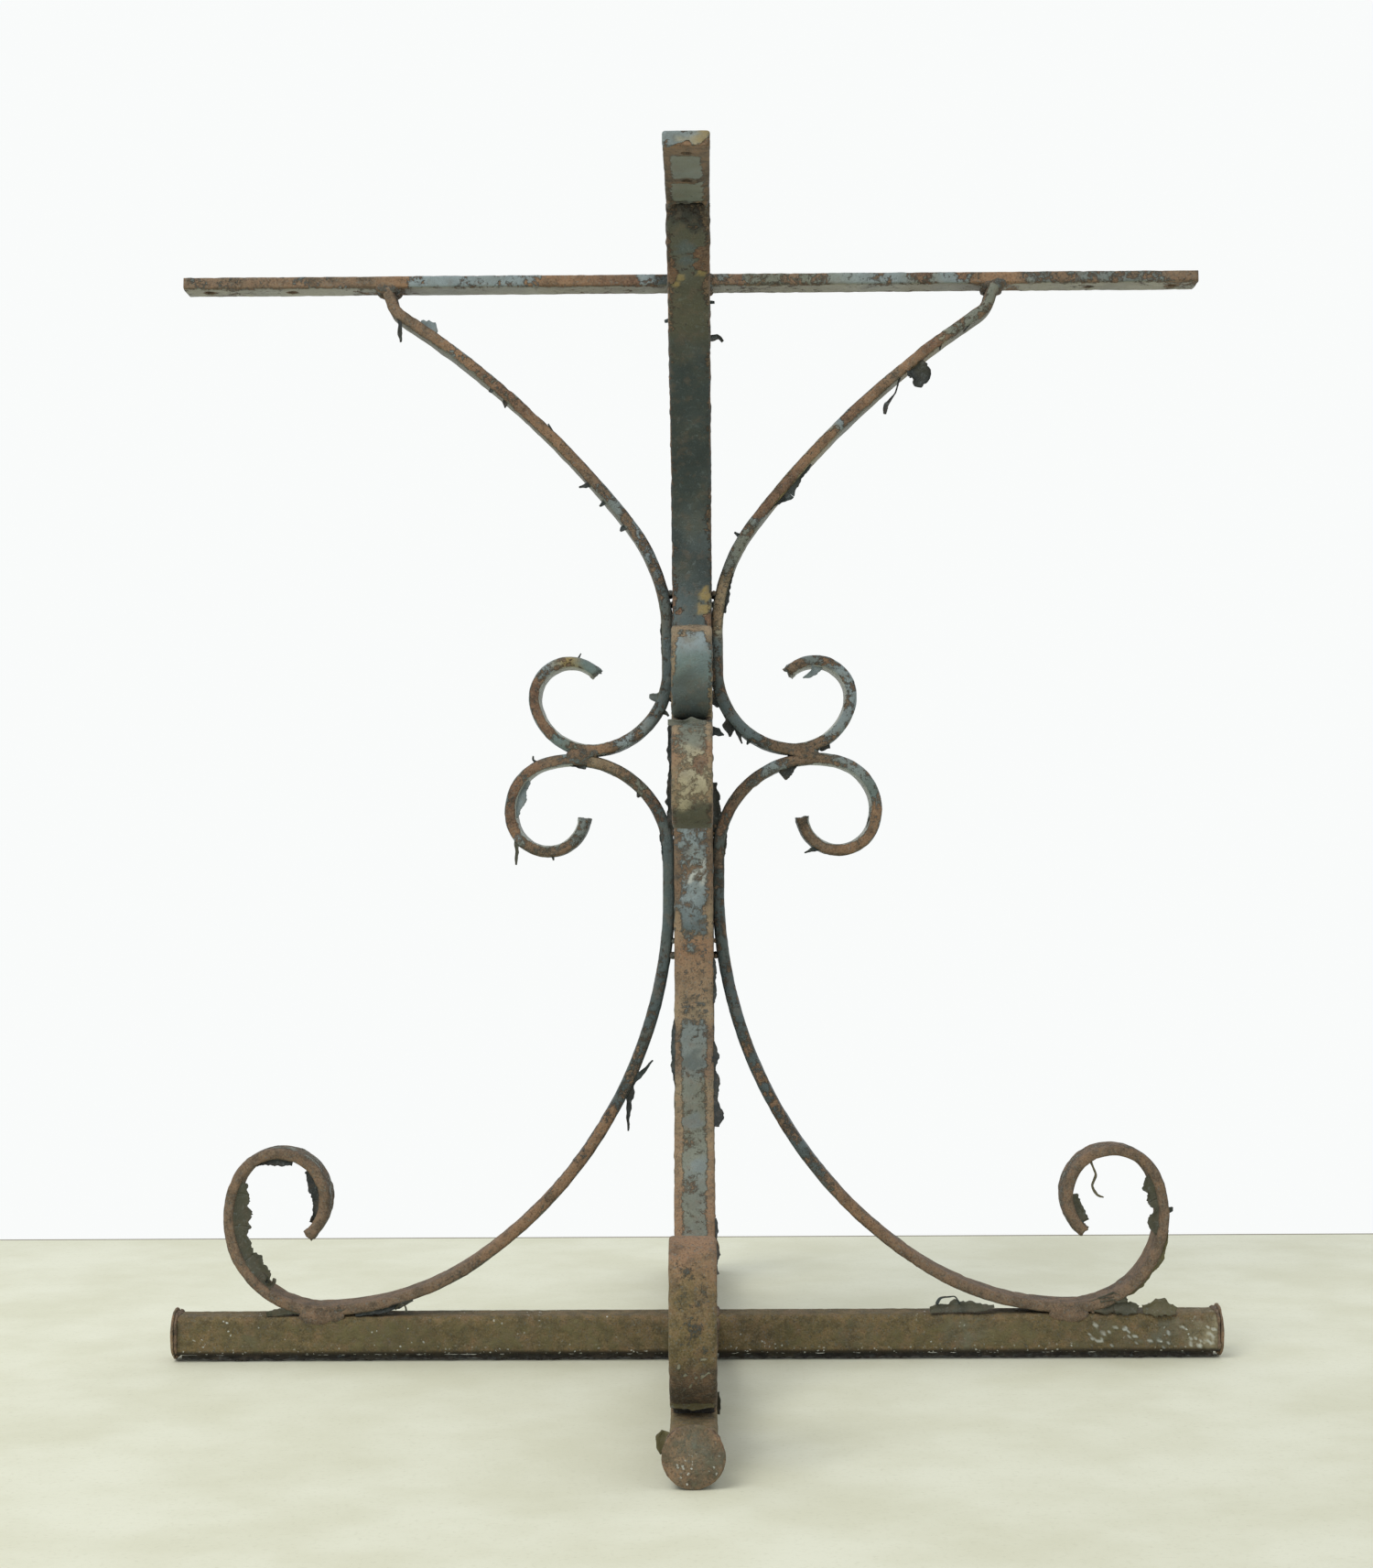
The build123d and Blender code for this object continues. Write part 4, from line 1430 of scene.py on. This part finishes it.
OUT, IN = 1, -1     # on a curl, OUT is its inside
FLAKES = {
    ("upper", "left"): [
        Strand(20, OUT, [(-75, 6), (-100, 5), (-80, 6)], [2.6, 1.8, 3.0, 1.6], "black slate"),
        Strand(34, IN, [(-30, 13)], [5, 9, 8, 3], "blue grey"),
        Strand(98, OUT, [(-120, 4)], [3, 2], "deep slate"),
        Strand(110, OUT, [(-100, 6)], [4, 5, 1], "black slate"),
        Strand(150, IN, [(120, 9)], [1.6, 0.8], "deep slate"),
        Strand(190, OUT, [(195, 9)], [3.5, 3, 1], "black slate"),
        Strand(205, OUT, [(215, 6)], [4, 3, 1], "deep slate"),
        Strand(225, OUT, [(230, 6)], [3, 4, 1], "deep slate"),
        Ribbon(296, 318, OUT, [1, 2, 1.5, 1], "deep slate"),
        Strand(347, OUT, [(175, 7)], [7, 6, 4], "mid grey"),
        Strand(355, IN, [(-10, 4), (-60, 3)], [3, 3, 1.5], "black slate"),
        Strand(505, IN, [(60, 5)], [1.5, 0.8], "deep slate"),
    ],
    ("upper", "right"): [
        Strand(78, OUT, [(-60, 9), (-100, 7)], [12, 15, 12, 5], "black slate"),
        Strand(88, OUT, [(-105, 12), (-125, 12), (-95, 5)], [1.6, 1.2, 1.2, 3.2, 2.4], "black slate"),
        Strand(27, OUT, [(-130, 11)], [1.6, 0.8], "deep slate"),
        Strand(54, OUT, [(-100, 5)], [2.4, 1], "deep slate"),
        Ribbon(172, 206, OUT, [2, 3, 5, 6, 3], "deep slate"),
        Strand(200, OUT, [(-125, 12)], [6, 6, 5, 2], "black slate"),
        Strand(238, IN, [(150, 5)], [4, 2], "deep slate"),
        Ribbon(262, 290, OUT, [1.5, 3, 3, 2], "black slate"),
        Strand(350, IN, [(170, 7)], [4, 5, 2], "black slate"),
        Strand(362, IN, [(-95, 11)], [8, 9, 6, 2], "black slate"),
        Strand(366, IN, [(-70, 13)], [4, 3, 1], "black slate"),
        Strand(424, IN, [(8, 7)], [5, 7, 5], "black slate"),
        Strand(378, IN, [(-110, 5)], [4, 3, 1], "deep slate"),
        Strand(498, OUT, [(-130, 8), (-150, 6)], [6, 5, 3, 1], "blue grey"),
    ],
    ("lower", "left"): [
        Ribbon(70, 100, OUT, [2, 4, 7, 6, 2], "blue grey"),
        Strand(57, IN, [(-85, 9), (-95, 8)], [3.2, 2.4, 3, 1.4], "moss"),
        Strand(32, IN, [(-80, 4)], [2.4, 1], "deep slate"),
        Strand(132, OUT, [(-15, 12)], [3, 4, 4, 2], "black slate"),
        Strand(112, IN, [(150, 4), (80, 3)], [2.4, 1.2], "deep slate"),
        Strand(186, OUT, [(-120, 4)], [3, 3, 1], "black slate"),
        Ribbon(214, 240, OUT, [1, 2, 2, 1], "deep slate"),
        Strand(388, IN, [(48, 24)], [4, 3.5, 3, 1], "deep slate"),
        Strand(386, IN, [(-92, 30)], [5, 5, 4, 2.5, 1], "black slate"),
        Strand(480, OUT, [(-60, 4)], [2.4, 1], "deep slate"),
        Ribbon(688, 768, OUT, [6, 12, 11, 8, 9, 12, 11, 8, 4], "moss"),
        Strand(696, OUT, [(-40, 7), (20, 6), (70, 4)], [9, 8, 5, 2], "moss"),
        Ribbon(784, 812, OUT, [2, 4, 5, 3], "black slate"),
        Ribbon(824, 866, OUT, [3, 6, 5, 4, 3], "black slate"),
    ],
    ("lower", "right"): [
        Strand(22, IN, [(-160, 10)], [4, 3, 1], "deep slate"),
        Strand(146, OUT, [(-140, 13)], [4, 7, 6], "black slate"),
        Ribbon(60, 80, OUT, [1, 2, 2, 1], "deep slate"),
        Ribbon(214, 236, OUT, [1, 2, 2, 1], "black slate"),
        Strand(420, IN, [(-30, 5)], [4, 2], "deep slate"),
        Strand(408, IN, [(-10, 7)], [1.4, 0.8], "black slate"),
        Strand(430, IN, [(-15, 6)], [1.4, 0.8], "black slate"),
        Strand(818, OUT, [(-70, 10), (-110, 8), (-60, 7), (-10, 4)], [1.6, 1.4, 1.4, 2, 1], "olive"),
        Strand(866, OUT, [(-80, 7)], [5, 5, 2], "deep slate"),
        Ribbon(728, 770, OUT, [2, 8, 3, 7, 9, 2], "moss"),
        Ribbon(684, 732, IN, [1, 2.5, 1.5, 3, 2, 1], "green brown"),
        Ribbon(846, 869, OUT, [3, 6, 7, 5], "moss"),
        Strand(745, IN, [(0, 4)], [5, 3], "deep slate"),
    ],
}
# Loose strips that stand up along the base tubes, and beside the post and the front scrolls.
FRONT_SIDE = -11.5      # just behind the front of the post
FREE_FLAKES = [
    Free(-280, -11, 31, [(8, 18), (-4, 14)], [3, 4, 4, 2], "moss"),
    Free(-222, -11, 31, [(8, 18), (16, 14), (24, 7)], [3, 4, 4, 2], "black slate"),
    Free(-196, -12, 34, [(50, 5), (-20, 4), (-80, 5)], [1.2, 1.0, 1.0], "moss"),
    Free(152, -11, 32, [(8, 16), (-4, 18), (10, 8)], [4, 6, 6, 2], "moss"),
    Free(156, -12, 36, [(60, 5), (5, 10), (-60, 6)], [1.4, 1.2, 1.0], "deep slate"),
    Free(254, -11, 33, [(14, 18), (-20, 16)], [5, 12, 12, 5], "moss"),
    Free(262, -12, 38, [(18, 9), (-20, 10)], [3, 6, 3], "moss"),
    Free(290, -11, 32, [(10, 10), (-14, 12)], [5, 10, 9, 4], "olive"),
    Free(-14.5, FRONT_SIDE, 416, [(-89, 30), (-92, 30), (-88, 24)], [3, 5, 4, 6, 4, 2], "black slate"),
    Free(14, FRONT_SIDE, 376, [(-90, 32)], [3, 6, 7, 5, 3], "black slate"),
    Free(-13, FRONT_SIDE, 680, [(190, 4)], [4, 2], "deep slate"),
    Free(12, FRONT_SIDE, 668, [(10, 7), (-50, 4)], [4, 3, 2], "black slate"),
    Free(12, FRONT_SIDE, 692, [(0, 4)], [3, 2], "deep slate"),
    Free(12, FRONT_SIDE, 410, [(-20, 9)], [8, 5, 1], "deep slate"),
    Free(-14.5, -334, 29, [(-108, 6), (-85, 6)], [6, 8, 7, 3], "green brown"),
    Free(12.2, -268, 35, [(-90, 12)], [3, 5, 3], "moss"),
]
# Loose strips along the left (-1) or right (1) edge of the front arm's scrolls.
FRINGES = [
    Fringe("lower", 318, 348, 1, [1, 3, 2, 3, 1], "black slate"),
    Fringe("lower", 374, 432, 1, [1, 3.5, 2, 4, 3, 2.5, 6, 4], "black slate"),
    Fringe("lower", 500, 545, 1, [1, 2.5, 1.5, 3, 1.5, 2], "black slate"),
    Fringe("lower", 358, 404, -1, [1, 2.5, 3, 2.5, 1], "deep slate"),
]
# Loose lips across the front arm's scrolls, on the side that faces the front. The near-black one at 704 mm is
# painted shadow under the lip at 716 mm.
LIPS = [
    Lip("lower", 116, -15, 9, [3, 5, 4, 6, 4, 2], "green grey"),
    Lip("lower", 716, -12.5, 11, [2, 4, 5, 4, 2], "green brown"),
    # painted shadow: a near-black strip in the shade under the lip above it
    Lip("lower", 704, -11, 11, [3, 4, 5, 4, 3], "crust"),
]


def hang_tube_shadow(flakes):
    """A ragged near-black strip under the two halves of the long tube, on the front side: painted shadow in
    the gap between tube and floor.
    """
    for side in (-1, 1):
        near, far = (Vector((side * x, -8 * MM, 3.0 * MM)) for x in (HALF + 2 * MM, TUBE_REACH - 4 * MM))
        flakes.sheet([near, far], [3.4, 2.6, 3.6, 2.4, 3.2, 2.6, 3.8, 2.6], Vector((0, -1, 0)), paint="crust")


def make_flakes(bars):
    """One piece of loose paint for each side scroll, and one for everything else, which also holds the
    painted shadow strips under the long tube and under a front lip.
    """
    for (kind, arm), pieces in FLAKES.items():
        flakes = Flakes(f"flakes_{kind}_{arm}", SCROLL_SLOTS[kind], bars[kind, arm])
        for item in pieces:
            (flakes.ribbon if isinstance(item, Ribbon) else flakes.strand)(item)
        flakes.done()
    flakes = Flakes("flakes_post_and_base", "post_paint")
    for item in FREE_FLAKES:
        flakes.free(item)
    for item in FRINGES:
        flakes.fringe(item, bars[item.kind, "front"])
    for item in LIPS:
        flakes.lip(item, bars[item.kind, "front"])
    hang_tube_shadow(flakes)
    flakes.done()


# ---------------------------------------------------------------- camera, light and floor
def make_camera():
    """The photograph's viewing angle, as found by fitting the bars to it."""
    data = bpy.data.cameras.new("camera")
    camera = linked("camera", data)
    data.sensor_width = 36
    data.lens = 57.0
    camera.location = (0.009, -1.635, 0.328)
    yaw, pitch, roll = math.radians(0.47), math.radians(1.66), math.radians(0.33)
    turn = Matrix.Rotation(yaw, 3, "Z") @ Matrix.Rotation(math.pi / 2 + pitch, 3, "X")
    camera.rotation_euler = (turn @ Matrix.Rotation(-roll, 3, "Z")).to_euler()
    bpy.context.scene.camera = camera


def make_light():
    """White surroundings, less bright where they only light the object, and one soft lamp."""
    scene = bpy.context.scene
    scene.view_settings.view_transform = "Standard"
    world = bpy.data.worlds.new("studio")
    world.use_nodes = True
    tree = world.node_tree
    output = tree.nodes["World Output"]
    seen = tree.nodes["Background"]
    seen.inputs["Color"].default_value = (0.95, 0.965, 0.96, 1)
    seen.inputs["Strength"].default_value = 1.0
    lit = new_node(tree, "ShaderNodeBackground", {"Color": (0.95, 0.97, 1.0, 1), "Strength": 0.80})
    path = new_node(tree, "ShaderNodeLightPath")
    both = new_node(tree, "ShaderNodeMixShader")
    tree.links.new(path.outputs["Is Camera Ray"], both.inputs[0])
    tree.links.new(lit.outputs[0], both.inputs[1])
    tree.links.new(seen.outputs[0], both.inputs[2])
    tree.links.new(both.outputs[0], output.inputs["Surface"])
    scene.world = world

    data = bpy.data.lights.new("soft_lamp", "AREA")
    data.shape = "SQUARE"
    data.size = 1.5
    data.energy = 38
    data.color = (1.0, 0.98, 0.94)
    lamp = linked("soft_lamp", data)
    lamp.location = (-1.1, -1.7, 2.3)
    towards = Vector((0, 0, 0.35)) - lamp.location
    lamp.rotation_euler = towards.to_track_quat("-Z", "Y").to_euler()


def floor_material():
    """Pale cloudy floor with painted shade: a little darker towards its near edge, and a dark band along its
    far edge.
    """
    material = bpy.data.materials.new("floor")
    material.use_nodes = True
    tree = material.node_tree
    shader = tree.nodes["Principled BSDF"]
    where = new_node(tree, "ShaderNodeTexCoord").outputs["Object"]
    clouds = noise_node(tree, where, 0.12, detail=4)
    fine = noise_node(tree, where, 3 * MM, detail=3)
    colour = mix_colours(tree, ramp(tree, clouds, 0.3, 0.7), srgb(217, 217, 192), srgb(229, 230, 209))
    colour = mix_colours(tree, ramp(tree, fine, 0.52, 0.75, 0.0, 0.30), colour, srgb(192, 191, 164))
    depth = new_node(tree, "ShaderNodeSeparateXYZ", {0: where}).outputs["Y"]
    # Painted shade: the floor darkens by up to 9 % towards its near edge.
    near = ramp(tree, depth, 0.2, -0.5, 0.0, 0.09)
    colour = mix_colours(tree, near, colour, (0.0, 0.0, 0.0))
    # Painted shade in the corner where the floor meets the white background: a dark band along its far edge.
    corner_shade = ramp(tree, depth, FLOOR_FAR - 6 * MM, FLOOR_FAR - 3 * MM)
    colour = mix_colours(tree, corner_shade, colour, srgb(120, 112, 92))
    tree.links.new(colour, shader.inputs["Base Color"])
    shader.inputs["Roughness"].default_value = 0.75
    return material


def make_floor():
    mesh = bpy.data.meshes.new("floor")
    side = 3.0
    corners = [(-side, -side, 0), (side, -side, 0), (side, FLOOR_FAR, 0), (-side, FLOOR_FAR, 0)]
    mesh.from_pydata(corners, [], [(0, 1, 2, 3)])
    floor = linked("floor", mesh)
    mesh.materials.append(floor_material())


make_top_bars()
make_post()
make_base_tubes()
bars = {}
for arm in ARMS:
    for kind in ("upper", "lower"):
        bars[kind, arm] = make_scroll(kind, arm)
    make_cap(arm)
make_welds()
make_flakes(bars)
make_camera()
make_light()
make_floor()
